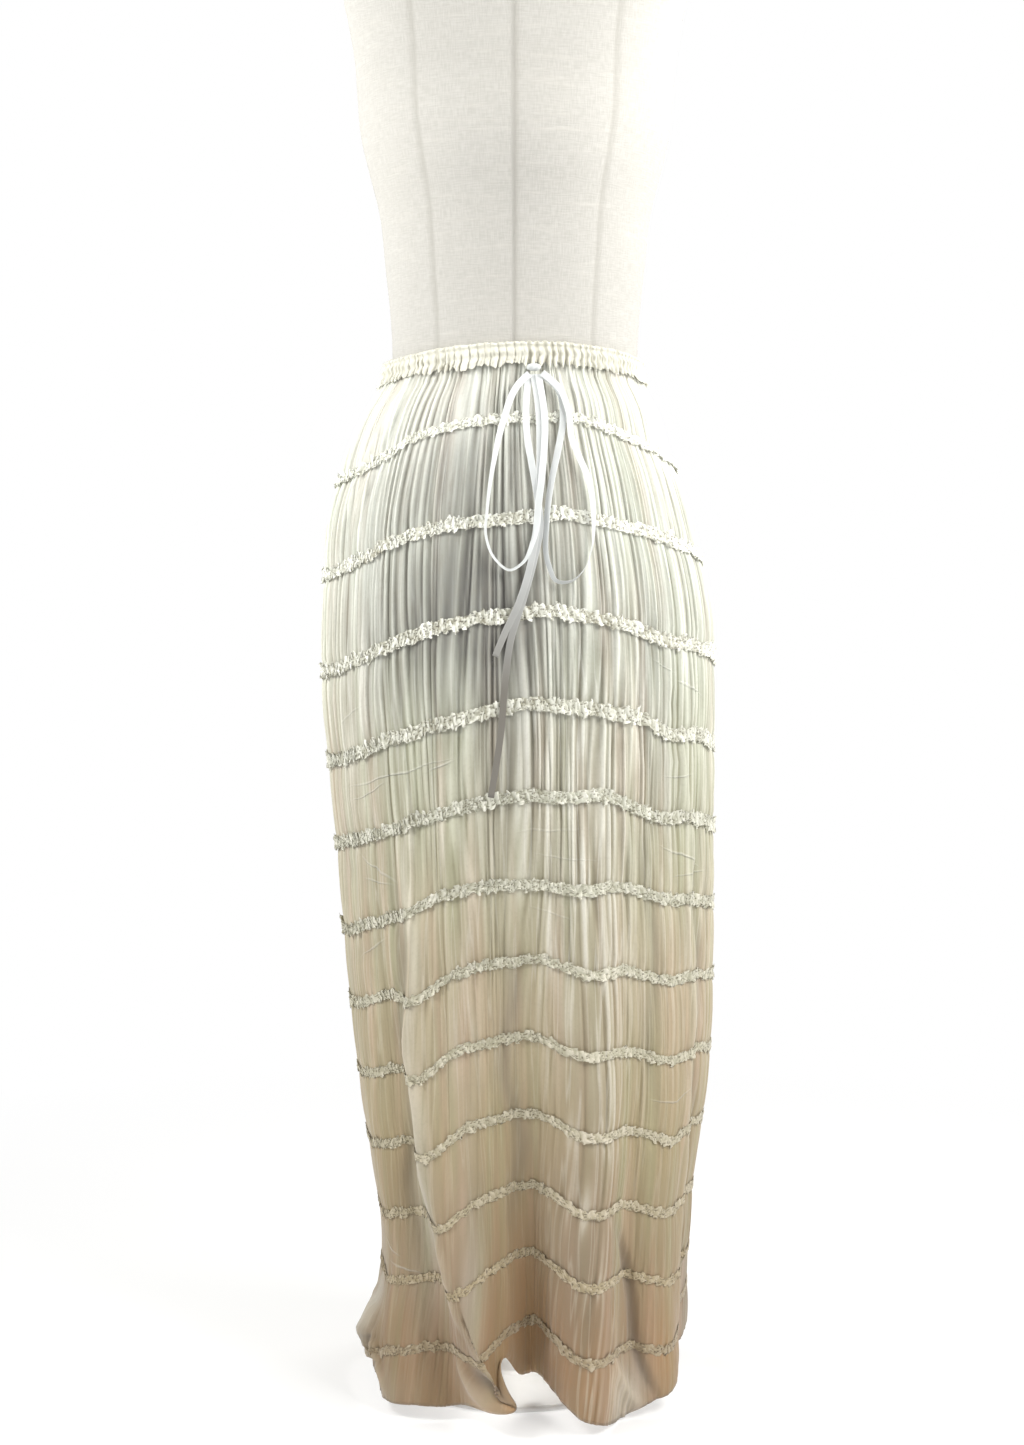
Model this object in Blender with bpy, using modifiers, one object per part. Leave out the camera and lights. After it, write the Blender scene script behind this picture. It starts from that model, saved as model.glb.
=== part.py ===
"""A pleated maxi skirt that stands on a limbless dress form.

The frame is in metres, with +Z up. The origin is at the middle of the stand's underside, and the
front of the skirt faces -Y. An angle runs round the body from the front (0) towards +X (90 degrees).
A row is a number from 0 at the waist, through 1 to 12 at the rows of lace, to 13 at the hem.
"""

import math
from collections import namedtuple

import bmesh
import bpy
import numpy as np

# --- Driving dimensions -------------------------------------------------------------------------
HANG = 0.014  # how far the garment's own zero height hangs above the floor
GAP = 0.0003  # between pieces that touch
CLOTH_WALL = 0.0014
PLEAT_DEPTH_WAIST = 0.0012  # a pleat's reach to each side of the cloth's middle surface
PLEAT_DEPTH = 0.0020
FRONT_CELLS = 52  # half pleats from side seam to side seam
BACK_CELLS = 36
BAND_HEIGHT = 0.019
BAND_PROUD = 0.0022
BAND_RUFFLE = 0.0012
BAND_SEAM = 0.0005  # between the waistband and the top of the panels
TRIM_HEIGHT = 0.010
TRIM_PROUD = 0.0030
TRIM_RUFFLE = 0.0008
SLANT_ALLOWANCE = 1.4  # on how far slanting faces beside a lace row may stand out
RIBBON_WIDTH = 0.0065
RIBBON_THICKNESS = 0.0006
RIBBON_STEPS = 30
KNOT_CENTRE_X = 0.0175
KNOT_CENTRE_Z = 1.0040
KNOT_RADII = (0.0090, 0.0065, 0.0065)
KNOT_SEAT = 0.0012  # how far the knot settles between the band's ruffles
FORM_CLEARANCE = 0.0008  # between the form and the waistband that grips it
FORM_COLUMNS = 36
POLE_RADIUS = 0.0125
BASE_RADIUS = 0.115
BASE_THICKNESS = 0.006
HUB_RADIUS = 0.024
HUB_HEIGHT = 0.036
FLANGE_RADIUS = 0.045
FLANGE_THICKNESS = 0.008
CAP_RADIUS = 0.054
NUDGE = 1e-4  # a small step in radians or rows, for a slope
PLACE_STEPS = 20

# The rows that run round the skirt: height at the front, and how far each side hangs below it.
Row = namedtuple("Row", "name height drop_left drop_right")
ROWS = (
    Row("waist", 0.9905, 0.016, 0.014),
    Row("lace_01", 0.9410, 0.053, 0.040),
    Row("lace_02", 0.8480, 0.053, 0.038),
    Row("lace_03", 0.7556, 0.056, 0.044),
    Row("lace_04", 0.6695, 0.058, 0.045),
    Row("lace_05", 0.5848, 0.058, 0.040),
    Row("lace_06", 0.5054, 0.060, 0.038),
    Row("lace_07", 0.4315, 0.058, 0.036),
    Row("lace_08", 0.3570, 0.052, 0.034),
    Row("lace_09", 0.2813, 0.044, 0.030),
    Row("lace_10", 0.2090, 0.038, 0.026),
    Row("lace_11", 0.1396, 0.030, 0.021),
    Row("lace_12", 0.0676, 0.018, 0.018),
    Row("hem", 0.0120, 0.009, 0.009),
)
HIGHEST_ANGLE = 10.0  # the rows are highest a little to the right of the middle
LINES = (0, 1, 2, 3, 4, 5, 6, 7, 8, 9, 10, 11, 11.55, 12, 12.5, 13)  # where the panels' mesh has points
LACE_ROWS = range(1, 13)

# The skirt's outline before its folds: half width to the left and right, depth to front and back.
Outline = namedtuple("Outline", "height left right front back")
OUTLINE = (
    Outline(0.000, 0.145, 0.174, 0.153, 0.154),
    Outline(0.070, 0.139, 0.174, 0.151, 0.152),
    Outline(0.140, 0.139, 0.176, 0.150, 0.151),
    Outline(0.200, 0.147, 0.180, 0.149, 0.150),
    Outline(0.270, 0.156, 0.190, 0.148, 0.149),
    Outline(0.340, 0.161, 0.196, 0.147, 0.148),
    Outline(0.420, 0.169, 0.197, 0.146, 0.147),
    Outline(0.520, 0.177, 0.197, 0.145, 0.147),
    Outline(0.620, 0.186, 0.197, 0.145, 0.148),
    Outline(0.700, 0.191, 0.197, 0.145, 0.150),
    Outline(0.750, 0.190, 0.195, 0.144, 0.152),
    Outline(0.800, 0.188, 0.187, 0.142, 0.152),
    Outline(0.845, 0.184, 0.175, 0.138, 0.148),
    Outline(0.885, 0.175, 0.163, 0.132, 0.138),
    Outline(0.920, 0.164, 0.150, 0.124, 0.126),
    Outline(0.960, 0.146, 0.138, 0.112, 0.108),
    Outline(0.985, 0.130, 0.126, 0.102, 0.095),
    Outline(1.010, 0.126, 0.124, 0.100, 0.092),
)

# The large folds. Each starts at a height and grows down to the hem, turning from its top angle to
# its hem angle. It stands out by depth, leans sideways, lifts the hem and sags between its ends.
Fold = namedtuple("Fold", "name top_angle hem_angle bend start depth lean lift sag half_width growth")
FOLDS = (
    Fold("centre_valley", 2, 9, 1.3, 0.600, -0.060, 0.000, 0.012, 0.000, 10.0, 1.4),
    Fold("right_ridge", 17, 26, 1.3, 0.620, 0.036, -0.018, -0.009, -0.012, 11.0, 0.8),
    Fold("right_valley", 31, 37, 1.3, 0.550, -0.012, 0.000, 0.002, 0.000, 6.0, 0.7),
    Fold("right_side_ridge", 44, 53, 1.3, 0.550, 0.020, 0.000, -0.012, -0.014, 12.0, 0.9),
    Fold("left_ridge", -34, -10, 2.4, 0.500, 0.032, 0.036, -0.003, -0.021, 8.5, 0.7),
    Fold("left_valley", -46, -22, 2.0, 0.500, -0.012, 0.000, 0.000, 0.000, 8.0, 0.8),
    Fold("left_side_ridge", -60, -46, 1.3, 0.500, 0.022, 0.000, -0.007, 0.000, 14.0, 1.0),
    Fold("hem_arch", 0, 0, 1.0, 0.085, 0.000, 0.000, 0.030, 0.000, 5.0, 1.0),
    Fold("right_notch", 86, 86, 1.0, 0.160, -0.020, 0.000, 0.000, 0.000, 14.0, 0.7),
    Fold("back_right_ridge", 112, 118, 1.0, 0.500, 0.026, 0.000, 0.022, 0.000, 13.0, 0.8),
    Fold("back_right_valley", 140, 142, 1.0, 0.550, -0.026, 0.000, 0.006, 0.000, 12.0, 1.0),
    Fold("back_ridge", 166, 168, 1.0, 0.580, 0.022, 0.000, -0.004, 0.000, 13.0, 1.0),
    Fold("back_left_valley", -167, -165, 1.0, 0.550, -0.028, 0.000, 0.006, 0.000, 11.0, 1.0),
    Fold("back_left_ridge", -140, -138, 1.0, 0.520, 0.024, 0.000, -0.004, 0.000, 13.0, 0.9),
    Fold("left_back_valley", -112, -110, 1.0, 0.500, -0.018, 0.000, 0.004, 0.000, 12.0, 1.0),
)

# The cloth bunches into a rounded lump near the hem on the left.
Lump = namedtuple("Lump", "angle height reach half_width half_height")
LUMP = Lump(-68, 0.050, 0.024, 9.0, 0.022)

# The form's body from its underside to the top of its neck, one row for each section.
Section = namedtuple("Section", "height half_width front back")
FORM = (
    Section(0.730, 0.158, 0.096, 0.106),
    Section(0.742, 0.167, 0.104, 0.116),
    Section(0.775, 0.173, 0.110, 0.124),
    Section(0.815, 0.174, 0.111, 0.127),
    Section(0.860, 0.166, 0.108, 0.124),
    Section(0.900, 0.152, 0.104, 0.116),
    Section(0.940, 0.137, 0.099, 0.104),
    Section(0.975, 0.1270, 0.0965, 0.0935),
    Section(1.000, 0.1226, 0.0955, 0.0885),
    Section(1.025, 0.1215, 0.0950, 0.0868),
    Section(1.060, 0.123, 0.096, 0.087),
    Section(1.110, 0.128, 0.102, 0.092),
    Section(1.165, 0.134, 0.115, 0.098),
    Section(1.205, 0.144, 0.129, 0.104),
    Section(1.240, 0.152, 0.134, 0.108),
    Section(1.275, 0.155, 0.127, 0.110),
    Section(1.315, 0.158, 0.106, 0.110),
    Section(1.350, 0.164, 0.088, 0.106),
    Section(1.380, 0.168, 0.072, 0.094),
    Section(1.402, 0.156, 0.062, 0.080),
    Section(1.420, 0.122, 0.055, 0.068),
    Section(1.434, 0.084, 0.051, 0.058),
    Section(1.447, 0.062, 0.049, 0.052),
    Section(1.478, 0.054, 0.047, 0.048),
    Section(1.500, 0.053, 0.047, 0.047),
)

# The ribbon's four lengths below its knot: across, height, and how far it stands off the cloth.
Way = namedtuple("Way", "across height stand_off")
RIBBONS = {
    "ribbon_loop_left": (
        Way(0.0125, 0.9975, 0.0098),
        Way(0.0040, 0.9890, 0.0098),
        Way(-0.0110, 0.9510, 0.0098),
        Way(-0.0200, 0.9110, 0.0096),
        Way(-0.0255, 0.8680, 0.0098),
        Way(-0.0265, 0.8440, 0.0096),
        Way(-0.0180, 0.8220, 0.0096),
        Way(-0.0050, 0.8120, 0.0096),
        Way(0.0070, 0.8190, 0.0096),
        Way(0.0155, 0.8370, 0.0096),
        Way(0.0210, 0.8770, 0.0098),
        Way(0.0245, 0.9110, 0.0096),
        Way(0.0260, 0.9540, 0.0101),
        Way(0.0205, 0.9970, 0.0096),
    ),
    "ribbon_loop_right": (
        Way(0.0235, 0.9985, 0.0119),
        Way(0.0390, 0.9830, 0.0116),
        Way(0.0470, 0.9610, 0.0114),
        Way(0.0500, 0.9350, 0.0112),
        Way(0.0560, 0.9200, 0.0110),
        Way(0.0650, 0.8980, 0.0106),
        Way(0.0700, 0.8600, 0.0102),
        Way(0.0685, 0.8320, 0.0094),
        Way(0.0620, 0.8130, 0.0086),
        Way(0.0500, 0.8020, 0.0083),
        Way(0.0380, 0.8020, 0.0082),
        Way(0.0300, 0.8180, 0.0082),
        Way(0.0285, 0.8600, 0.0082),
        Way(0.0320, 0.8920, 0.0082),
        Way(0.0390, 0.9280, 0.0082),
        Way(0.0430, 0.9560, 0.0082),
        Way(0.0380, 0.9840, 0.0082),
        Way(0.0240, 0.9970, 0.0082),
    ),
    "ribbon_tail_long": (
        Way(0.0120, 0.9972, 0.0068),
        Way(0.0095, 0.9620, 0.0077),
        Way(0.0110, 0.9340, 0.0070),
        Way(0.0150, 0.9110, 0.0068),
        Way(0.0200, 0.8800, 0.0068),
        Way(0.0225, 0.8520, 0.0068),
        Way(0.0170, 0.8220, 0.0068),
        Way(0.0070, 0.7840, 0.0068),
        Way(-0.0040, 0.7480, 0.0068),
        Way(-0.0090, 0.7100, 0.0068),
        Way(-0.0130, 0.6600, 0.0068),
        Way(-0.0220, 0.6000, 0.0068),
    ),
    "ribbon_tail_short": (
        Way(0.0165, 0.9970, 0.0082),
        Way(0.0205, 0.9670, 0.0087),
        Way(0.0220, 0.9260, 0.0082),
        Way(0.0210, 0.8800, 0.0082),
        Way(0.0170, 0.8360, 0.0082),
        Way(0.0040, 0.7840, 0.0082),
        Way(-0.0100, 0.7520, 0.0082),
        Way(-0.0180, 0.7320, 0.0082),
    ),
}

# Finishes: colour, roughness and metallic value.
Finish = namedtuple("Finish", "colour roughness metallic")
FINISHES = {
    "ivory_cloth": Finish((0.80, 0.77, 0.68), 0.90, 0.0),
    "ivory_lace": Finish((0.84, 0.80, 0.70), 0.92, 0.0),
    "white_satin": Finish((0.88, 0.88, 0.85), 0.38, 0.0),
    "pale_linen": Finish((0.76, 0.75, 0.72), 0.95, 0.0),
    "white_paint": Finish((0.86, 0.86, 0.85), 0.35, 0.0),
}


# --- The shape of the cloth ---------------------------------------------------------------------
def smooth(at, places, values):
    """A smooth curve through the values at rising places, read at one or more points."""
    places = np.asarray(places, float)
    values = np.asarray(values, float)
    slopes = np.gradient(values, places)
    i = np.clip(np.searchsorted(places, at) - 1, 0, len(places) - 2)
    step = places[i + 1] - places[i]
    t = np.clip((at - places[i]) / step, 0, 1)
    start = (1 + 2 * t) * (1 - t) ** 2 * values[i] + t * (1 - t) ** 2 * step * slopes[i]
    end = t**2 * (3 - 2 * t) * values[i + 1] - t**2 * (1 - t) * step * slopes[i + 1]
    return start + end


def turn_from(angle, middle):
    """The turn from a middle angle to an angle, in radians from -pi to pi."""
    return (angle - middle + math.pi) % (2 * math.pi) - math.pi


def row_height(angle, row):
    """The height of a row: highest just right of the front, and level at the sides and back."""
    numbers = np.arange(len(ROWS))
    front = smooth(row, numbers, [r.height for r in ROWS])
    left = smooth(row, numbers, [r.drop_left for r in ROWS])
    right = smooth(row, numbers, [r.drop_right for r in ROWS])
    turn = turn_from(angle, math.radians(HIGHEST_ANGLE))
    side = np.where(np.abs(turn) < math.pi / 2, np.sin(turn) ** 2, 1.0)
    leftness = 0.5 - 0.5 * np.sin(turn)
    return front - (left * leftness + right * (1 - leftness)) * side


def folds_at(angle, height):
    """How far the folds push the cloth out, sideways and up, each in metres."""
    out = np.zeros_like(height)
    along = np.zeros_like(height)
    up = np.zeros_like(height)
    for fold in FOLDS:
        down = np.clip((fold.start - height) / fold.start, 0, 1)
        middle = fold.top_angle + (fold.hem_angle - fold.top_angle) * down**fold.bend
        turn = turn_from(angle, np.radians(middle)) / math.radians(fold.half_width)
        ridge = np.exp(-(turn**2))
        out += fold.depth * down**fold.growth * ridge
        along += fold.lean * down**4 * ridge
        up += (fold.lift * down**2 + fold.sag * 4 * down * (1 - down)) * ridge
    turn = turn_from(angle, math.radians(LUMP.angle)) / math.radians(LUMP.half_width)
    out += LUMP.reach * np.exp(-(turn**2) - ((height - LUMP.height) / LUMP.half_height) ** 2)
    return out, along, up


def cloth(angle, row):
    """Points on the middle of the cloth, before its pleats."""
    angle, row = np.broadcast_arrays(np.asarray(angle, float), np.asarray(row, float))
    height = row_height(angle, row)
    heights = [o.height for o in OUTLINE]
    left, right, front, back = (smooth(height, heights, [o[i] for o in OUTLINE]) for i in range(1, 5))
    half_width = np.where(np.sin(angle) < 0, left, right)
    depth = np.where(np.cos(angle) > 0, front, back)
    normal = np.stack([np.sin(angle) / half_width, -np.cos(angle) / depth])
    normal /= np.hypot(normal[0], normal[1])
    out, along, up = folds_at(angle, height)
    x = half_width * np.sin(angle) + out * normal[0] - along * normal[1]
    y = -depth * np.cos(angle) + out * normal[1] + along * normal[0]
    return np.stack([x, y, height + up + HANG], axis=-1)


def tangent(angle, row):
    """How the cloth runs round the body, level, in metres for each radian."""
    step = (cloth(angle + NUDGE, row) - cloth(angle - NUDGE, row)) / (2 * NUDGE)
    step[..., 2] = 0
    return step


def outward(angle, row):
    """The level direction that points out of the cloth."""
    along = tangent(angle, row)
    normal = np.stack([along[..., 1], -along[..., 0], np.zeros_like(along[..., 0])], axis=-1)
    return normal / np.linalg.norm(normal, axis=-1, keepdims=True)


def pleated(angle, row, side):
    """Points on the outer face of the cloth, on the ridges (side 1) or in the valleys (side -1)."""
    depth = np.interp(row, [0, 1], [PLEAT_DEPTH_WAIST, PLEAT_DEPTH])
    push = (np.asarray(side) * depth)[..., None]
    return cloth(angle, row) + push * outward(angle, row)


def place_on_front(across, height):
    """The angle and row of places on the front, found by stepping towards each from a near guess."""
    falling = [-(r.height + HANG) for r in ROWS]
    angle = np.arcsin(across / OUTLINE[0].left)
    row = np.interp(-height, falling, np.arange(len(ROWS)))
    for _ in range(PLACE_STEPS):
        point = cloth(angle, row)
        fall = (cloth(angle, row + NUDGE) - point)[..., 2] / NUDGE
        angle = angle + (across - point[..., 0]) / tangent(angle, row)[..., 0]
        row = row + (height - point[..., 2]) / fall
    return angle, row


def form_at(angle, height, clearance=0.0):
    """Points on the form's skin, or a clearance outside it."""
    heights = [s.height for s in FORM]
    half_width, front, back = (smooth(height, heights, [s[i] for s in FORM]) for i in range(1, 4))
    depth = np.where(np.cos(angle) > 0, front, back)
    x = (half_width + clearance) * np.sin(angle)
    y = -(depth + clearance) * np.cos(angle)
    return np.stack([x, y, np.broadcast_to(height, x.shape)], axis=-1)


# --- Blender helpers ----------------------------------------------------------------------------
def clear_scene():
    for obj in list(bpy.data.objects):
        bpy.data.objects.remove(obj, do_unlink=True)


def new_collection(name):
    collection = bpy.data.collections.new(name)
    bpy.context.scene.collection.children.link(collection)
    return collection


def new_material(name):
    finish = FINISHES[name]
    material = bpy.data.materials.new(name)
    material.use_nodes = True
    shader = material.node_tree.nodes["Principled BSDF"]
    shader.inputs["Base Color"].default_value = (*finish.colour, 1.0)
    shader.inputs["Roughness"].default_value = finish.roughness
    shader.inputs["Metallic"].default_value = finish.metallic
    material.diffuse_color = (*finish.colour, 1.0)
    return material


def add_piece(name, points, faces, material, sharp_angle=35):
    """An object from points and faces, with its faces turned outwards where it is closed."""
    mesh = bpy.data.meshes.new(name)
    mesh.from_pydata(np.asarray(points).reshape(-1, 3).tolist(), [], faces)
    mesh.materials.append(new_material(material))
    mesh.shade_smooth()
    mesh.set_sharp_from_angle(angle=math.radians(sharp_angle))
    obj = bpy.data.objects.new(name, mesh)
    PARTS.objects.link(obj)
    return obj


def face_outwards(obj):
    shape = bmesh.new()
    shape.from_mesh(obj.data)
    bmesh.ops.recalc_face_normals(shape, faces=shape.faces)
    shape.to_mesh(obj.data)
    shape.free()


def grid_faces(rows, columns, close_rows=False, close_columns=False):
    """Quads of a grid of points, each row joined to the next, and the last to the first if closed."""
    faces = []
    for r in range(rows if close_rows else rows - 1):
        below = (r + 1) % rows
        for c in range(columns if close_columns else columns - 1):
            right = (c + 1) % columns
            corners = (r * columns + c, below * columns + c)
            faces.append((*corners, below * columns + right, r * columns + right))
    return faces


def add_loft(name, rings, material, sharp_angle=35):
    """A closed body through rings of points, with a flat end on the first and the last."""
    rows, columns = rings.shape[:2]
    faces = grid_faces(rows, columns, close_columns=True)
    faces.append(tuple(range(columns)))
    faces.append(tuple(range((rows - 1) * columns, rows * columns)))
    obj = add_piece(name, rings, faces, material, sharp_angle)
    face_outwards(obj)
    return obj


def add_ring(name, sections, material):
    """A closed ring round the body, from one small section of points for each column."""
    rows, columns = sections.shape[:2]
    faces = grid_faces(rows, columns, close_rows=True, close_columns=True)
    obj = add_piece(name, sections, faces, material)
    face_outwards(obj)
    return obj


def add_turned(name, profile, steps, material):
    """A turned piece: a profile of (radius, height) points, top to bottom, swept round Z."""
    mesh = bpy.data.meshes.new(name)
    edges = [(i, i + 1) for i in range(len(profile) - 1)]
    mesh.from_pydata([(radius, 0, height) for radius, height in profile], edges, [])
    mesh.materials.append(new_material(material))
    obj = bpy.data.objects.new(name, mesh)
    PARTS.objects.link(obj)
    screw = obj.modifiers.new("turn", "SCREW")
    screw.steps = steps
    screw.render_steps = steps
    screw.use_merge_vertices = True
    screw.merge_threshold = 0.0001
    screw.use_smooth_shade = True
    return obj


# --- The skirt ----------------------------------------------------------------------------------
def front_angles():
    return np.radians(np.linspace(-90, 90, FRONT_CELLS + 1))


def back_angles():
    return np.radians(np.linspace(90, 270, BACK_CELLS + 1))


def all_angles():
    """Every column once: even ones are valleys, odd ones are ridges, and both side seams are valleys."""
    return np.concatenate([front_angles()[:-1], back_angles()[:-1]])


def add_panel(name, angles):
    """A panel from side seam to side seam: an open zigzag of half pleats with a wall behind it."""
    angle, row = np.meshgrid(angles, LINES)
    half_seam = GAP / 2 / np.linalg.norm(tangent(angle, row), axis=-1)
    angle[:, 0] += half_seam[:, 0]
    angle[:, -1] -= half_seam[:, -1]
    side = np.where(np.arange(len(angles)) % 2, 1.0, -1.0)
    points = pleated(angle, row, np.broadcast_to(side, angle.shape))
    panel = add_piece(name, points, grid_faces(*angle.shape), "ivory_cloth")
    wall = panel.modifiers.new("wall", "SOLIDIFY")
    wall.thickness = CLOTH_WALL
    wall.offset = -1
    return panel


def add_waistband():
    """The gathered band: its inner face grips the form, and its outer face is ruffled."""
    angle = all_angles()
    ruffle = np.where(np.arange(len(angle)) % 2, BAND_RUFFLE, -BAND_RUFFLE)
    edge = cloth(angle, 0)
    normal = outward(angle, 0)
    low = edge[:, 2] + BAND_SEAM
    high = low + BAND_HEIGHT
    outer_low = edge + normal * (BAND_PROUD + ruffle)[:, None]
    outer_high = outer_low.copy()
    outer_low[:, 2] = low
    outer_high[:, 2] = high + ruffle
    inner_low = form_at(angle, low, FORM_CLEARANCE)
    inner_high = form_at(angle, high, FORM_CLEARANCE)
    sections = np.stack([inner_low, inner_high, outer_high, outer_low], axis=1)
    return add_ring("waistband", sections, "ivory_cloth")


def clear_of_valleys(ridges, valleys, normal):
    """How far each ridge point moves out so that straight runs between them miss every valley."""
    middle = (ridges + np.roll(ridges, -1, axis=0)) / 2
    direction = normal + np.roll(normal, -1, axis=0)
    direction /= np.linalg.norm(direction, axis=1, keepdims=True)
    reach = ((np.roll(valleys, -1, axis=0) - middle) * direction).sum(axis=1)
    reach = np.maximum(reach, 0)
    return np.maximum(reach, np.roll(reach, 1))


def beside_row(angle, number, side):
    """Points on the panels' face at a lace row and at half a lace's height above and below it."""
    line = LINES.index(number)
    here = pleated(angle, number, side)
    levels = [here]
    for neighbour in (LINES[line - 1], LINES[line + 1]):
        way = pleated(angle, neighbour, side) - here
        levels.append(here + way * TRIM_HEIGHT / 2 / np.linalg.norm(way, axis=1, keepdims=True))
    return levels


def clear_of_twist(ridges, valleys, normal):
    """How far the slanting faces between a ridge and its valleys can stand out beside the row."""
    here_ridge, *other_ridges = ridges
    here_valley, *other_valleys = valleys
    twists = []
    for ridge, valley in zip(other_ridges, other_valleys):
        for turn in (0, -1):
            change = (here_ridge - ridge) - np.roll(here_valley - valley, turn, axis=0)
            twists.append(np.abs((change * normal).sum(axis=1)))
    twist = np.maximum.reduce(twists)
    return np.maximum.reduce([twist, np.roll(twist, 1), np.roll(twist, -1)])


def add_lace(number):
    """A ruched lace row, laid on the ridges of the pleats over one row of the panels."""
    ridge, valley = all_angles()[1::2], all_angles()[0::2]
    normal = outward(ridge, number)
    ridges = beside_row(ridge, number, 1.0)
    valleys = beside_row(valley, number, -1.0)
    here, top, bottom = ridges
    bulge = ((here - (top + bottom) / 2) * normal).sum(axis=1)
    reach = np.maximum.reduce([clear_of_valleys(r, v, normal) for r, v in zip(ridges, valleys)])
    slant = SLANT_ALLOWANCE * clear_of_twist(ridges, valleys, normal)
    lift = GAP + np.maximum(bulge, 0) + reach + slant
    ruffle = np.where(np.arange(len(ridge)) % 2, TRIM_RUFFLE, -TRIM_RUFFLE)
    crest = here + normal * (lift + TRIM_PROUD + ruffle)[:, None]
    crest[:, 2] += 2 * ruffle
    inner = normal * lift[:, None]
    sections = np.stack([top + inner, crest, bottom + inner], axis=1)
    return add_ring(f"lace_{number:02d}", sections, "ivory_lace")


# --- The ribbon ---------------------------------------------------------------------------------
def ribbon_route(ways):
    """Evenly spread points along a smooth curve through the ribbon's places, and which way it faces."""
    ways = np.array(ways)
    reach = np.concatenate([[0], np.cumsum(np.hypot(*np.diff(ways[:, :2], axis=0).T))])
    at = np.linspace(0, reach[-1], RIBBON_STEPS)
    across, height, stand_off = (smooth(at, reach, column) for column in ways.T)
    angle, row = place_on_front(across, height)
    facing = outward(angle, row)
    return cloth(angle, row) + facing * stand_off[:, None], facing


def add_ribbon(name, ways):
    """A flat ribbon that lies along its route with its face outwards."""
    route, facing = ribbon_route(ways)
    forward = np.gradient(route, axis=0)
    across = np.cross(forward, facing)
    across /= np.linalg.norm(across, axis=1, keepdims=True)
    thick = facing * RIBBON_THICKNESS / 2
    wide = across * RIBBON_WIDTH / 2
    corners = [route + wide + thick, route - wide + thick, route - wide - thick, route + wide - thick]
    return add_loft(name, np.stack(corners, axis=1), "white_satin")


def add_knot():
    """The bow's knot, a rounded lump in front of the waistband's lower edge."""
    mesh = bpy.data.meshes.new("ribbon_knot")
    shape = bmesh.new()
    bmesh.ops.create_uvsphere(shape, u_segments=12, v_segments=8, radius=1.0)
    bmesh.ops.scale(shape, vec=KNOT_RADII, verts=shape.verts)
    shape.to_mesh(mesh)
    shape.free()
    mesh.materials.append(new_material("white_satin"))
    mesh.shade_smooth()
    knot = bpy.data.objects.new("ribbon_knot", mesh)
    PARTS.objects.link(knot)
    band_angle = math.asin(KNOT_CENTRE_X / OUTLINE[-1].right)
    band_front = cloth(band_angle, 0)[1] - BAND_PROUD - BAND_RUFFLE
    knot.location = (KNOT_CENTRE_X, band_front + KNOT_SEAT - KNOT_RADII[1], KNOT_CENTRE_Z)
    return knot


# --- The dress form -----------------------------------------------------------------------------
def add_form_body():
    """The form's smooth body from hip to neck, with flat ends."""
    angle = np.linspace(0, 2 * math.pi, FORM_COLUMNS, endpoint=False)
    rings = np.stack([form_at(angle, section.height) for section in FORM])
    return add_loft("form_body", rings, "pale_linen", sharp_angle=50)


def add_form_cap():
    """The domed cap on the neck, with its small finial."""
    top = FORM[-1].height + GAP
    profile = (
        (0.0, top + 0.040),
        (0.009, top + 0.037),
        (0.012, top + 0.030),
        (0.009, top + 0.023),
        (0.007, top + 0.016),
        (0.030, top + 0.013),
        (CAP_RADIUS - 0.003, top + 0.008),
        (CAP_RADIUS, top + 0.004),
        (CAP_RADIUS, top),
        (0.0, top),
    )
    return add_turned("form_cap", profile, 28, "white_paint")


def add_form_flange():
    """The plate under the body that sits on the pole."""
    top = FORM[0].height - GAP
    profile = (
        (0.0, top),
        (FLANGE_RADIUS, top),
        (FLANGE_RADIUS, top - FLANGE_THICKNESS),
        (0.0, top - FLANGE_THICKNESS),
    )
    return add_turned("form_flange", profile, 28, "white_paint")


def add_form_pole():
    top = FORM[0].height - FLANGE_THICKNESS - 2 * GAP
    bottom = HUB_HEIGHT + GAP
    profile = ((0.0, top), (POLE_RADIUS, top), (POLE_RADIUS, bottom), (0.0, bottom))
    return add_turned("form_pole", profile, 20, "white_paint")


def add_form_base():
    """The round foot: a flat plate with a hub that carries the pole."""
    profile = (
        (0.0, HUB_HEIGHT),
        (HUB_RADIUS - 0.003, HUB_HEIGHT),
        (HUB_RADIUS, HUB_HEIGHT - 0.003),
        (HUB_RADIUS, BASE_THICKNESS + 0.003),
        (HUB_RADIUS + 0.004, BASE_THICKNESS),
        (BASE_RADIUS - 0.002, BASE_THICKNESS),
        (BASE_RADIUS, BASE_THICKNESS - 0.002),
        (BASE_RADIUS, 0.0),
        (0.0, 0.0),
    )
    return add_turned("form_base", profile, 40, "white_paint")


clear_scene()
PARTS = new_collection("pleated_skirt_on_form")
add_panel("skirt_front", front_angles())
add_panel("skirt_back", back_angles())
add_waistband()
for lace_row in LACE_ROWS:
    add_lace(lace_row)
for ribbon_name, ribbon_ways in RIBBONS.items():
    add_ribbon(ribbon_name, ribbon_ways)
add_knot()
add_form_body()
add_form_cap()
add_form_flange()
add_form_pole()
add_form_base()
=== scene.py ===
"""A pleated maxi skirt on a limbless dress form: its cloth, lace, ribbon, form and stand.

Everything is in metres, with +Z up and the front of the skirt towards -Y. An angle runs round the
body from the front (0) towards +X (90 degrees). A row is a number from 0 at the waist, through 1 to
12 at the rows of lace, to 13 at the hem, and it keeps its meaning between those numbers.
"""

import logging
import math
from collections.abc import Sequence
from dataclasses import dataclass
from enum import Enum
from typing import NamedTuple

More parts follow.
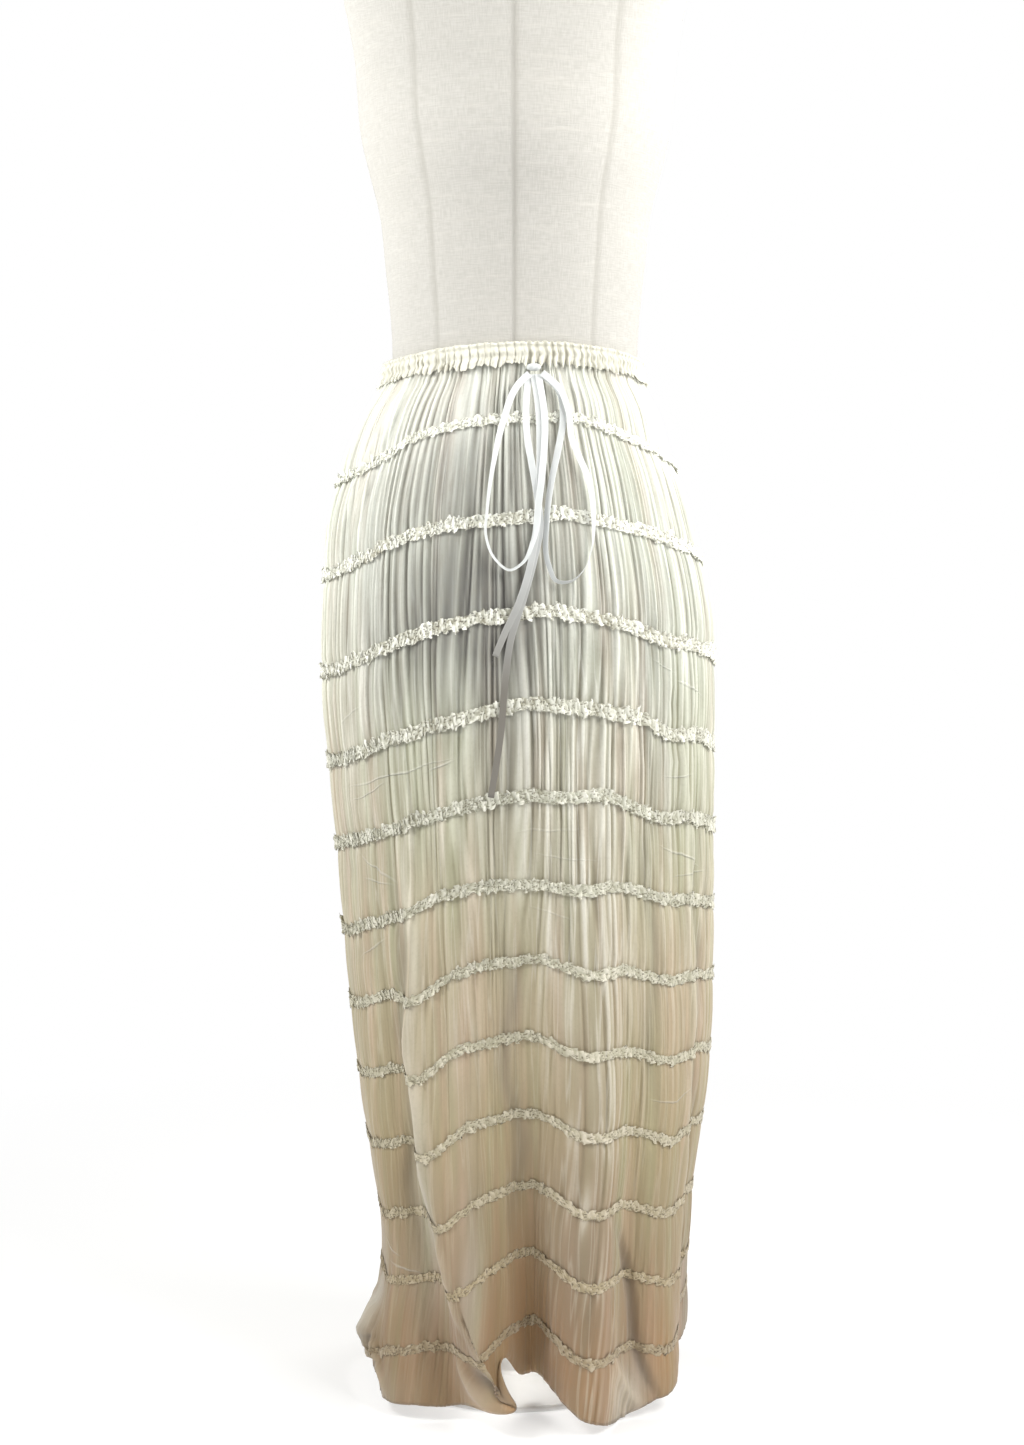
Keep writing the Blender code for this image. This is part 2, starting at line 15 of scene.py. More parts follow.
import bmesh
import bpy
import numpy as np
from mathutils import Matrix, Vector


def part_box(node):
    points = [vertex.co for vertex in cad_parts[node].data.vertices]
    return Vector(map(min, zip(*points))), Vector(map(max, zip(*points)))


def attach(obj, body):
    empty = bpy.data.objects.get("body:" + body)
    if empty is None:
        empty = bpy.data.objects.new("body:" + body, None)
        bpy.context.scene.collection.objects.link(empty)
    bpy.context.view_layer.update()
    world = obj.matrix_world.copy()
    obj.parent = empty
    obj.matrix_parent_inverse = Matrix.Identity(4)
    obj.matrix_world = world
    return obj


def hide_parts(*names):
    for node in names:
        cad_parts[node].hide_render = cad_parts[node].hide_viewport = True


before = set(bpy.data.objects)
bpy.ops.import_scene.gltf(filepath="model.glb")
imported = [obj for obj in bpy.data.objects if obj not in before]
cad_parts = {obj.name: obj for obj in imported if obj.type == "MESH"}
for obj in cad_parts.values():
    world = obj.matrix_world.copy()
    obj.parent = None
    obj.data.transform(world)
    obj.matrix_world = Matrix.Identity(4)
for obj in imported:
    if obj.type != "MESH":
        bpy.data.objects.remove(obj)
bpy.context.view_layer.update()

Array = np.ndarray
Colour = tuple[float, float, float]
Place = tuple[float, float, float]
Pair = tuple[float, float]
Piece = bpy.types.Object
Material = bpy.types.Material

BODY = "root"
CLOTH_MAP = "cloth_map"  # the name of each cloth piece's own UV map, in metres
TWO_PI = 2 * math.pi
logging.basicConfig(level=logging.INFO, format="%(message)s")
LOG = logging.getLogger("skirt")


# --- Tables of the garment ----------------------------------------------------------------------
class Row(NamedTuple):
    """A row round the skirt: its height at the front, and how far each side hangs below it."""

    height: float
    drop_left: float
    drop_right: float


class Outline(NamedTuple):
    """The skirt's outline at a height: half widths to the left and right, depths to front and back."""

    height: float
    left: float
    right: float
    front: float
    back: float


class Fold(NamedTuple):
    """A large fold that grows from a height down to the hem, turning from one angle to another."""

    name: str
    top_angle: float
    hem_angle: float
    bend: float  # above 1, it turns later
    start: float  # the height where it begins
    depth: float  # outwards at the hem, or inwards below 0
    lean: float  # sideways at the hem
    lift: float  # of the hem
    sag: float  # lift halfway down, and none at the ends
    half_width: float
    growth: float  # above 1, it deepens later
    skew: float = 0.0  # above 0, the fold is narrower to its right than to its left


class Lump(NamedTuple):
    """A rounded lump of bunched cloth, and how a row of lace dips under it."""

    angle: float
    height: float
    reach: float
    half_width: float
    half_height: float
    dip: float
    dip_row: int
    dip_half_width: float
    dip_half_rows: float


class Crease(NamedTuple):
    """A soft trough (negative depth) or ridge that runs from one angle and row to another."""

    start_angle: float
    start_row: float
    end_angle: float
    end_row: float
    depth: float
    half_width: float


class Sway(NamedTuple):
    """A place where a row runs higher (or, below 0, lower) than its even course."""

    row: int
    angle: float
    lift: float
    half_width: float


class Tone(Enum):
    """How a place on the cloth departs from the colour around it, by painted light or shade."""

    # painted highlight, in the mark pale
    PAINTED_HIGHLIGHT = "pale"
    # painted warm shade, in the mark deep
    PAINTED_WARM_SHADE = "deep"
    # painted shade, where the form shows through and where the cloth lies out of the light
    SHADE = "shade"
    # painted highlight on the lace
    GLEAM = "gleam"


class Bloom(NamedTuple):
    """A place where the cloth is painted with a tone of light or shade: its middle, reach and strength."""

    angle: float
    row: float
    half_width: float
    half_rows: float
    strength: float


class Nick(NamedTuple):
    """A fine sharp wrinkle across the pleats, from one angle and row to another, raised and painted with a
    highlight.
    """

    start_angle: float
    start_row: float
    end_angle: float
    end_row: float
    half_width: float
    strength: float


class Calm(NamedTuple):
    """A stretch where the fine pleats have fallen out, or are crisper where the share is below 0."""

    angle: float
    row: float
    half_width: float
    half_rows: float
    share: float


class ShadeStop(NamedTuple):
    """A stop of the painted shade by height: a colour of the cloth, and where it is pure as a share of the
    way up from the hem.
    """

    name: str
    place: float
    colour: Colour


class Section(NamedTuple):
    """A level section of the dress form."""

    height: float
    half_width: float
    front: float
    back: float


class Way(NamedTuple):
    """A place on a ribbon's route, how far it stands off the cloth, and its twist in degrees."""

    across: float
    height: float
    stand_off: float
    twist: float


def listed(kind: type, *rows: tuple) -> tuple:
    """A table's rows, each made one of a kind."""
    return tuple(kind(*row) for row in rows)


HANG = 0.014  # how far the garment's own zero height hangs above the floor
HEM = 13  # the hem's row
HIGHEST_ANGLE = 10.0  # the rows are highest a little to the right of the middle

# The waist, the twelve rows of lace and the hem.
ROWS = listed(
    Row,
    (0.996, 0.012, 0.01), (0.941, 0.053, 0.04), (0.848, 0.053, 0.038), (0.7556, 0.056, 0.044),
    (0.6695, 0.058, 0.045), (0.5848, 0.058, 0.04), (0.5054, 0.06, 0.038), (0.4315, 0.058, 0.036),
    (0.357, 0.052, 0.034), (0.2813, 0.044, 0.03), (0.209, 0.038, 0.026), (0.1396, 0.03, 0.021),
    (0.0676, 0.018, 0.018), (0.012, 0.009, 0.009),
)

OUTLINE = listed(
    Outline,
    (0.000, 0.145, 0.174, 0.153, 0.154), (0.07, 0.139, 0.174, 0.151, 0.152),
    (0.14, 0.134, 0.176, 0.15, 0.151), (0.2, 0.142, 0.18, 0.149, 0.15),
    (0.27, 0.153, 0.19, 0.148, 0.149), (0.34, 0.161, 0.196, 0.147, 0.148),
    (0.42, 0.169, 0.197, 0.146, 0.147), (0.52, 0.177, 0.197, 0.145, 0.147),
    (0.62, 0.186, 0.197, 0.145, 0.148), (0.7, 0.191, 0.197, 0.145, 0.15),
    (0.75, 0.19, 0.195, 0.144, 0.152), (0.8, 0.188, 0.187, 0.142, 0.152),
    (0.845, 0.184, 0.175, 0.138, 0.148), (0.885, 0.175, 0.163, 0.132, 0.138),
    (0.92, 0.164, 0.15, 0.124, 0.126), (0.96, 0.146, 0.138, 0.112, 0.108),
    (0.985, 0.13, 0.126, 0.102, 0.095), (1.01, 0.126, 0.124, 0.1, 0.092),
)

FOLDS = listed(
    Fold,
    ("centre_valley", 2, 9, 1.3, 0.6, -0.06, 0.000, 0.008, 0.000, 10.5, 1.8, 0.22),
    ("right_ridge", 17, 26, 1.3, 0.62, 0.036, -0.022, -0.009, -0.012, 11.0, 0.8, -0.18),
    ("right_valley", 31, 37, 1.3, 0.55, -0.012, 0.000, 0.002, 0.000, 6.0, 0.7),
    ("right_side_ridge", 44, 53, 1.3, 0.55, 0.02, 0.000, -0.012, -0.014, 12.0, 0.9),
    ("left_ridge", -34, -10, 2.4, 0.5, 0.032, 0.006, 0.001, -0.021, 8.5, 0.7),
    ("left_toe", -34, -8.6, 2.4, 0.4, 0.000, 0.031, 0.000, 0.000, 4.4, 1.0, 0.4),
    ("left_valley", -46, -22, 2.0, 0.5, -0.012, 0.000, 0.000, 0.000, 8.0, 0.8),
    ("left_side_ridge", -60, -46, 1.3, 0.5, 0.022, 0.000, -0.007, 0.000, 14.0, 1.0),
    ("hem_arch", -5.2, -5.2, 1.0, 0.085, 0.000, -0.004, 0.053, 0.000, 4.3, 1.0, -0.2),
    ("left_hem_low", -27, -27, 1.0, 0.11, 0.000, 0.000, -0.01, 0.000, 9.0, 1.0),
    ("lobe_shoulder", 36, 36, 1.0, 0.1, 0.000, 0.000, -0.022, 0.000, 7.5, 1.0),
    ("right_hem_rise", 70, 72, 1.0, 0.13, -0.006, 0.000, 0.036, 0.000, 17.0, 1.0),
    ("right_notch", 86, 86, 1.0, 0.115, -0.018, 0.000, 0.000, 0.000, 14.0, 0.4),
    ("back_right_ridge", 112, 118, 1.0, 0.5, 0.026, 0.000, 0.022, 0.000, 13.0, 0.8),
    ("back_right_valley", 140, 142, 1.0, 0.55, -0.026, 0.000, 0.006, 0.000, 12.0, 1.0),
    ("back_ridge", 166, 168, 1.0, 0.58, 0.022, 0.000, -0.004, 0.000, 13.0, 1.0),
    ("back_left_valley", -167, -165, 1.0, 0.55, -0.028, 0.000, 0.006, 0.000, 11.0, 1.0),
    ("back_left_ridge", -140, -138, 1.0, 0.52, 0.024, 0.000, -0.004, 0.000, 13.0, 0.9),
    ("left_back_valley", -112, -110, 1.0, 0.5, -0.018, 0.000, 0.004, 0.000, 12.0, 1.0),
)

LUMP = Lump(-68, 0.05, 0.026, 9.0, 0.024, dip=0.017, dip_row=12, dip_half_width=14.4, dip_half_rows=0.5)

# Troughs and ridges laid one by one: long soft folds, seam-like folds, and short marks across the pleats.
CREASES = listed(
    Crease,
    # left side and front, from the waist down
    (-50, 0.15, -62, 1.35, 0.0045, 0.004), (-45, 0.3, -55, 1.5, -0.003, 0.0045),
    (-38, 1.2, -44, 3.6, 0.0022, 0.006), (-30, 1.4, -34, 4.2, -0.0022, 0.007),
    (-34, 5.2, -33, 9.6, 0.006, 0.007), (-40, 5.6, -41, 10.2, -0.005, 0.008),
    (-30, 10.2, -14, 12.9, 0.0055, 0.006), (-25, 11.4, -9, 12.95, -0.006, 0.005),
    (-76, 5.1, -52, 5.55, -0.0016, 0.003), (-80, 5.75, -44, 6.25, 0.0018, 0.003),
    (-72, 6.45, -50, 6.3, -0.0014, 0.003), (-66, 4.3, -48, 4.85, 0.0014, 0.0035),
    # middle
    (-16, 3.2, -14, 8.8, 0.0028, 0.006), (-4, 6.8, 1, 10.4, -0.004, 0.009),
    (10, 2.1, 12, 8.4, 0.0024, 0.0055),
    # right side
    (30, 1.1, 33, 6.9, 0.0026, 0.006), (38, 2.2, 41, 8.6, -0.003, 0.007),
    (56, 3.3, 60, 11.8, 0.0045, 0.007), (64, 5.2, 68, 12.6, -0.0045, 0.008),
    (42, 3.55, 62, 3.8, -0.0014, 0.0025), (38, 4.45, 70, 4.2, 0.0016, 0.003),
    (52, 5.6, 78, 5.85, -0.0016, 0.003), (60, 11.2, 76, 10.95, 0.0018, 0.004),
    # right of the hem
    (34, 12.1, 42, 13.00, 0.005, 0.005), (33, 10.4, 46, 12.98, -0.006, 0.0045),
    # over and round the lump
    (-78, 11.75, -58, 12.3, -0.006, 0.0045), (-62, 11.6, -50, 12.8, 0.005, 0.005),
    (-86, 11.46, -62, 11.6, 0.0045, 0.005), (-86, 12.06, -58, 11.74, -0.0046, 0.0036),
    (-84, 12.3, -60, 12.04, 0.005, 0.005), (-78, 12.56, -56, 12.26, -0.0036, 0.004),
    (-60, 11.6, -66, 12.6, -0.005, 0.004),
    # left toe of the hem
    (-21, 12.2, -9, 12.94, -0.0065, 0.0045), (-24, 12.1, -13, 12.97, 0.005, 0.0042),
    # back
    (104, 1.2, 108, 7.8, 0.003, 0.007), (126, 2.6, 128, 10.2, -0.004, 0.008),
    (96, 4.6, 124, 4.3, 0.0016, 0.003), (176, 1.1, 178, 6.6, 0.0026, 0.006),
    (188, 4.2, 186, 11.6, -0.0042, 0.008), (150, 7.6, 176, 7.9, -0.0016, 0.003),
    (212, 2.2, 210, 9.4, 0.0034, 0.007), (232, 1.6, 236, 7.4, -0.003, 0.007),
    (204, 5.2, 238, 5.6, 0.0016, 0.003), (246, 8.6, 250, 12.8, 0.005, 0.007),
    (134, 9.4, 138, 12.9, 0.0045, 0.007),
)

SWAYS = listed(
    Sway,
    (1, -32, 0.009, 15), (1, -12, 0.003, 9), (1, 24, 0.003, 12), (2, -30, 0.0055, 18),
    (2, 16, 0.003, 12), (3, -20, 0.004, 22), (3, 8, 0.0035, 10), (3, 46, -0.0065, 11),
    (4, 5, 0.004, 10), (4, 48, -0.0085, 8), (5, -66, 0.005, 16), (5, 1, 0.0035, 11), (5, 22, 0.0065, 8),
    (5, 44, -0.008, 9), (6, -18, 0.003, 9), (6, 30, 0.004, 9), (7, -30, -0.0035, 9),
    (7, 12, 0.003, 9), (3, 118, 0.005, 16), (4, 150, -0.0055, 12), (5, 184, 0.005, 14),
    (2, 214, 0.005, 16), (6, 226, -0.005, 12), (4, 250, 0.0055, 12), (7, 168, 0.0045, 12),
)

# Places of painted light and shade on the cloth, by tone.
BLOOMS = {
    Tone.PAINTED_HIGHLIGHT: listed(
        Bloom,
        (-70, 11.55, 9, 0.42, 0.7), (-66, 12.35, 6, 0.25, 0.4), (-35, 9.6, 6, 1.8, 0.52),
        (-17, 11.4, 3.5, 1.6, 0.34), (-52, 12.9, 12, 0.5, 0.26), (-78, 10.6, 12, 2.0, 0.24),
        (38, 12.7, 6, 0.6, 0.6), (116, 11.2, 9, 2.4, 0.24), (168, 11.4, 9, 2.6, 0.24),
        (221, 11.4, 9, 2.4, 0.26),
    ),
    Tone.PAINTED_WARM_SHADE: listed(
        Bloom,
        (-14, 13.0, 6, 0.35, 0.6), (-36, 12.7, 20, 0.9, 0.4), (-60, 10.6, 16, 1.0, 0.12),
        (-52, 11.6, 14, 0.5, 0.24), (1, 12.1, 12, 1.5, 0.66), (20, 9.8, 9, 2.8, 0.16),
        (-24, 12.3, 9, 1.0, 0.36), (34, 12.4, 26, 1.2, 0.34), (20, 12.4, 12, 1.1, 0.4),
        (62, 12.2, 12, 1.6, 0.4), (49, 12.2, 5, 1.2, 0.35), (141, 12.2, 12, 1.8, 0.28),
        (194, 12.3, 11, 1.8, 0.26), (249, 12.2, 12, 1.8, 0.26),
    ),
    Tone.GLEAM: listed(
        Bloom,
        (22, 10.0, 15, 3.6, 0.9), (-38, 10.4, 7, 1.2, 0.45), (60, 10.0, 10, 3.0, 0.45),
        (84, 1.6, 26, 2.6, 0.9), (-84, 1.6, 26, 2.6, 0.9), (118, 10.0, 12, 3.6, 0.7),
        (168, 10.0, 12, 3.6, 0.6), (222, 10.0, 12, 3.6, 0.7),
    ),
    Tone.SHADE: listed(
        Bloom,
        (-15, 2.9, 26, 0.9, 0.94), (20, 5.8, 12, 2.8, 0.26), (-6, 3.0, 12, 0.9, 0.14),
        (21, 10.6, 9, 2.6, 0.34), (-26, 12.4, 8, 1.0, 0.24), (-15, 1.4, 26, 0.7, 0.52),
        (-3, 4.2, 10, 1.7, 0.44), (-4, 0.4, 22, 0.5, 0.22), (192, 2.8, 30, 1.1, 0.66),
        (184, 1.3, 26, 0.7, 0.38), (170, 4.4, 10, 1.6, 0.38),
    ),
}

NICKS = listed(
    Nick,
    (-60, 4.36, -19, 4.4, 0.0016, 1.0), (-59, 4.54, -42, 4.44, 0.0013, 0.8),
    (-27, 4.5, -18, 4.42, 0.0018, 1.0), (-57, 5.18, -40, 5.62, 0.0015, 0.9),
    (-56, 5.46, -42, 5.62, 0.0013, 0.8), (-70, 4.9, -52, 5.08, 0.0014, 0.7),
    (-64, 3.62, -50, 3.5, 0.0013, 0.6), (-60, 6.4, -46, 6.24, 0.0014, 0.7),
    (0, 5.4, 18, 5.34, 0.0014, 0.5), (6, 5.62, 22, 5.66, 0.0013, 0.5), (4, 6.3, 16, 6.36, 0.0013, 0.4),
    (44, 5.34, 65, 5.56, 0.0018, 1.0), (50, 5.72, 70, 5.6, 0.0014, 0.8),
    (51, 3.42, 67, 3.54, 0.0016, 0.9), (42, 3.24, 50, 3.34, 0.0014, 0.7),
    (46, 4.52, 60, 4.46, 0.0014, 0.8), (40, 8.56, 58, 8.4, 0.0015, 0.7),
    (-52, 10.7, -40, 10.92, 0.0016, 0.8), (-56, 10.36, -48, 10.62, 0.0014, 0.6),
    (98, 4.6, 122, 4.38, 0.0016, 0.9), (106, 6.3, 126, 6.52, 0.0015, 0.8),
    (150, 5.38, 172, 5.52, 0.0015, 0.7), (178, 7.44, 196, 7.36, 0.0014, 0.6),
    (206, 4.56, 236, 4.36, 0.0016, 0.9), (228, 5.6, 246, 5.44, 0.0015, 0.8),
    (244, 6.4, 260, 6.58, 0.0015, 0.8),
)

CALMS = listed(
    Calm,
    # front, crisper
    (12, 4.6, 15, 2.6, -0.7), (22, 10.4, 11, 5.2, -0.9), (36, 12.8, 8, 0.8, -0.9),
    (-22, 11.4, 7, 2.2, -0.9), (-36, 9.4, 6, 2.0, -0.6),
    # front, calmer
    (-44, 6.4, 26, 2.6, 0.5), (-46, 10.4, 30, 3.0, 0.74), (-80, 7.0, 16, 3.2, 0.5),
    (-82, 11.0, 18, 3.0, 0.72), (-2, 10.6, 9, 3.0, 0.72), (-4, 13.0, 16, 0.8, 0.8),
    (50, 7.0, 12, 2.6, 0.35), (58, 11.0, 15, 3.0, 0.68), (-44, 12.9, 30, 0.8, 0.6),
    # back, calmer
    (104, 11.6, 18, 2.6, 0.62), (134, 7.0, 20, 2.8, 0.45), (176, 10.8, 22, 3.2, 0.66),
    (226, 9.2, 20, 3.0, 0.58), (254, 11.6, 14, 2.4, 0.62),
)

FORM = listed(
    Section,
    (0.73, 0.158, 0.096, 0.106), (0.742, 0.167, 0.104, 0.116), (0.775, 0.173, 0.11, 0.124),
    (0.815, 0.174, 0.111, 0.127), (0.86, 0.166, 0.108, 0.124), (0.9, 0.152, 0.104, 0.116),
    (0.94, 0.137, 0.099, 0.104), (0.975, 0.127, 0.0965, 0.0935), (1.000, 0.1226, 0.0955, 0.0885),
    (1.025, 0.1215, 0.095, 0.0868), (1.06, 0.123, 0.096, 0.087), (1.11, 0.128, 0.102, 0.092),
    (1.165, 0.134, 0.115, 0.098), (1.205, 0.144, 0.129, 0.104), (1.24, 0.152, 0.134, 0.108),
    (1.275, 0.155, 0.127, 0.11), (1.315, 0.158, 0.106, 0.11), (1.35, 0.164, 0.088, 0.106),
    (1.38, 0.168, 0.072, 0.094), (1.402, 0.156, 0.062, 0.08), (1.42, 0.122, 0.055, 0.068),
    (1.434, 0.084, 0.051, 0.058), (1.447, 0.062, 0.049, 0.052), (1.478, 0.054, 0.047, 0.048),
    (1.5, 0.053, 0.047, 0.047),
)

ROW_NUMBERS = np.arange(len(ROWS))


# --- Numbers and curves -------------------------------------------------------------------------
def smooth(at: Array | float, places: Sequence[float], values: Sequence[float]) -> Array:
    """A smooth curve through values at rising places.

    Formula: a cubic Hermite piece between each two places, with each slope taken from the
    neighbours on both sides.

    Args:
        at: where to read the curve.
        places: rising places.
        values: the curve's value at each place.

    Returns:
        The curve's value at each point of at.
    """
    places = np.asarray(places, float)
    values = np.asarray(values, float)
    slopes = np.gradient(values, places)
    i = np.clip(np.searchsorted(places, at) - 1, 0, len(places) - 2)
    step = places[i + 1] - places[i]
    t = np.clip((at - places[i]) / step, 0, 1)
    start = (1 + 2 * t) * (1 - t) ** 2 * values[i] + t * (1 - t) ** 2 * step * slopes[i]
    end = t**2 * (3 - 2 * t) * values[i + 1] - t**2 * (1 - t) * step * slopes[i + 1]
    return start + end


def turn_from(angle: Array, middle: Array | float) -> Array:
    """The turn from a middle angle to an angle, in radians from -pi to pi."""
    return (angle - middle + math.pi) % TWO_PI - math.pi


def bell(away: Array | float, half_width: Array | float) -> Array:
    """A bell curve: 1 in its middle, and 0.37 at its half width."""
    return np.exp(-((away / half_width) ** 2))


def near(angle: Array, level: Array, spot: Pair, reach: Pair) -> Array:
    """How near points are to a spot on the cloth.

    Formula: a bell curve over the turn round the body, times another over the level.

    Args:
        angle: in radians.
        level: rows or heights.
        spot: the spot's angle in degrees, and its row or height.
        reach: the half widths of the two bells, in degrees, and in rows or heights.

    Returns:
        The nearness of each point, from 0 to 1.
    """
    turn = turn_from(angle, math.radians(spot[0])) / math.radians(reach[0])
    rise = (level - spot[1]) / reach[1]
    return np.exp(-(turn**2) - rise**2)


def ring_angles(columns: int) -> Array:
    """Even angles round the whole body, without the last, which would be the first again."""
    return np.linspace(0, TWO_PI, columns, endpoint=False)


def step_up(value: Array, low: float, high: float) -> Array:
    """Rises smoothly from 0 at low to 1 at high."""
    t = np.clip((value - low) / (high - low), 0, 1)
    return t * t * (3 - 2 * t)


def squared(wave: Array, power: float) -> Array:
    """A wave from -1 to 1 with flatter tops, which makes a circle or ball squarer."""
    return np.sign(wave) * np.abs(wave) ** power


def unit(vectors: Array) -> Array:
    """Vectors made one long."""
    return vectors / np.linalg.norm(vectors, axis=-1, keepdims=True)


def waves(at: Array, seed: int, counts: tuple[int, int], terms: int) -> Array:
    """A closed irregular wave round the body, about -1 to 1.

    Formula: the sum of sines of whole numbers of turns, each with its own strength and start.

    Args:
        at: angles in radians.
        seed: which wave it is.
        counts: the fewest and most turns that a sine makes round the body.
        terms: how many sines.

    Returns:
        The wave's value at each angle.
    """
    rng = np.random.default_rng(seed)
    turns = rng.integers(counts[0], counts[1], terms)
    starts = rng.uniform(0, TWO_PI, terms)
    strengths = rng.uniform(0.4, 1.0, terms)
    total = np.zeros_like(at)
    for turn, start, strength in zip(turns, starts, strengths):
        total += strength * np.sin(turn * at + start)
    usual_height = 1.2 * math.sqrt(terms)
    return total / usual_height


def value_noise(x: Array, y: Array, seed: int, period: int) -> Array:
    """Soft noise from 0 to 1 on a plane that closes on itself along x.

    Formula: random numbers at whole places, joined by a smooth step in x and in y.

    Args:
        x: place along the closed way, which comes round after period.
        y: place along the open way.
        seed: which noise it is.
        period: whole number of cells in one turn.

    Returns:
        The noise at each place.
    """
    lines = 512  # before the open way repeats
    table = np.random.default_rng(seed).random((period, lines))
    column = np.floor(x).astype(int)
    line = np.floor(y).astype(int)
    across = step_up(x - column, 0, 1)
    along = step_up(y - line, 0, 1)
    left, right = column % period, (column + 1) % period
    low, high = line % lines, (line + 1) % lines
    below = table[left, low] * (1 - across) + table[right, low] * across
    above = table[left, high] * (1 - across) + table[right, high] * across
    return below * (1 - along) + above * along


def ridges_at(
    phase: Array,
    row: Array,
    seed: int,
    count: int,
    width: Pair,
    fullness: Array | float = 0.0,
) -> Array:
    """Uneven ridges, one in each cell of a closed way, which rise and fade down the cloth.

    Formula: in its own cell each ridge is a bell curve with its own place, width and strength,
    and the highest of the near ridges counts.

    Args:
        phase: place along the closed way, in cells.
        row: rows of the same shape.
        seed: which ridges they are.
        count: how many cells close the way.
        width: the least and most half width, in cells.
        fullness: 0 where some ridges are missing, up to 1 where all are strong.

    Returns:
        The ridges, from 0 to about 1.
    """
    rng = np.random.default_rng(seed)
    places, widths = rng.uniform(0.15, 0.85, count), rng.uniform(*width, count)
    cell = np.floor(phase).astype(int)
    highest = np.zeros_like(phase)
    for step in (-1, 0, 1):
        cells_near = cell + step
        strength = value_noise(cells_near.astype(float), row * 1.2 + 40, seed + 1, count)
        strength = step_up(strength, 0.1 - 0.45 * fullness, 0.95 - 0.25 * fullness)
        off = phase - cells_near - places[cells_near % count]
        highest = np.maximum(highest, strength * bell(off, widths[cells_near % count]))
    return highest


# --- Meshes -------------------------------------------------------------------------------------
def add_surface(
    name: str,
    points: Array,
    material: Material,
    closed: tuple[bool, bool] = (False, False),
    cloth_map: Array | None = None,
    marks: dict[str, Array] | None = None,
) -> Piece:
    """A piece from a grid of points, each row joined to the next by quads.

    Args:
        name: the piece's name.
        points: rows by columns by 3.
        material: its finish.
        closed: whether the last row joins the first, and the last column the first.
        cloth_map: the piece's own map, rows by columns by 2, in metres.
        marks: numbers for each point that the finish reads by name.

    Returns:
        The new object, at the origin, with its place in its mesh.
    """
    rows, columns = points.shape[:2]
    row = np.arange(rows if closed[0] else rows - 1)[:, None]
    column = np.arange(columns if closed[1] else columns - 1)[None, :]
    below, right = (row + 1) % rows, (column + 1) % columns
    corners = (
        row * columns + column,
        below * columns + column,
        below * columns + right,
        row * columns + right,
    )
    faces = np.stack(np.broadcast_arrays(*corners), axis=-1).reshape(-1, 4)
    mesh = bpy.data.meshes.new(name)
    mesh.vertices.add(rows * columns)
    mesh.vertices.foreach_set("co", points.reshape(-1).astype(np.float32))
    mesh.loops.add(faces.size)
    mesh.loops.foreach_set("vertex_index", faces.reshape(-1).astype(np.int32))
    mesh.polygons.add(len(faces))
    mesh.polygons.foreach_set("loop_start", np.arange(0, faces.size, 4, dtype=np.int32))
    mesh.update(calc_edges=True)
    if cloth_map is not None:
        flat = cloth_map.reshape(-1, 2)[faces.reshape(-1)]
        layer = mesh.uv_layers.new(name=CLOTH_MAP)
        layer.data.foreach_set("uv", flat.reshape(-1).astype(np.float32))
    for mark, values in (marks or {}).items():
        attribute = mesh.attributes.new(mark, "FLOAT", "POINT")
        attribute.data.foreach_set("value", values.reshape(-1).astype(np.float32))
    mesh.shade_smooth()
    mesh.materials.append(material)
    obj = bpy.data.objects.new(name, mesh)
    bpy.context.scene.collection.objects.link(obj)
    return obj


def finish_piece(obj: Piece, slot: str, *nodes: str) -> Piece:
    """Lets a piece ride on the body and stand for its solids.

    Args:
        obj: the piece.
        slot: not used.
        nodes: the solids that it replaces.

    Returns:
        The piece.
    """
    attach(obj, BODY)
    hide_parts(*nodes)
    LOG.info("built %s: %d faces", obj.name, len(obj.data.polygons))
    return obj


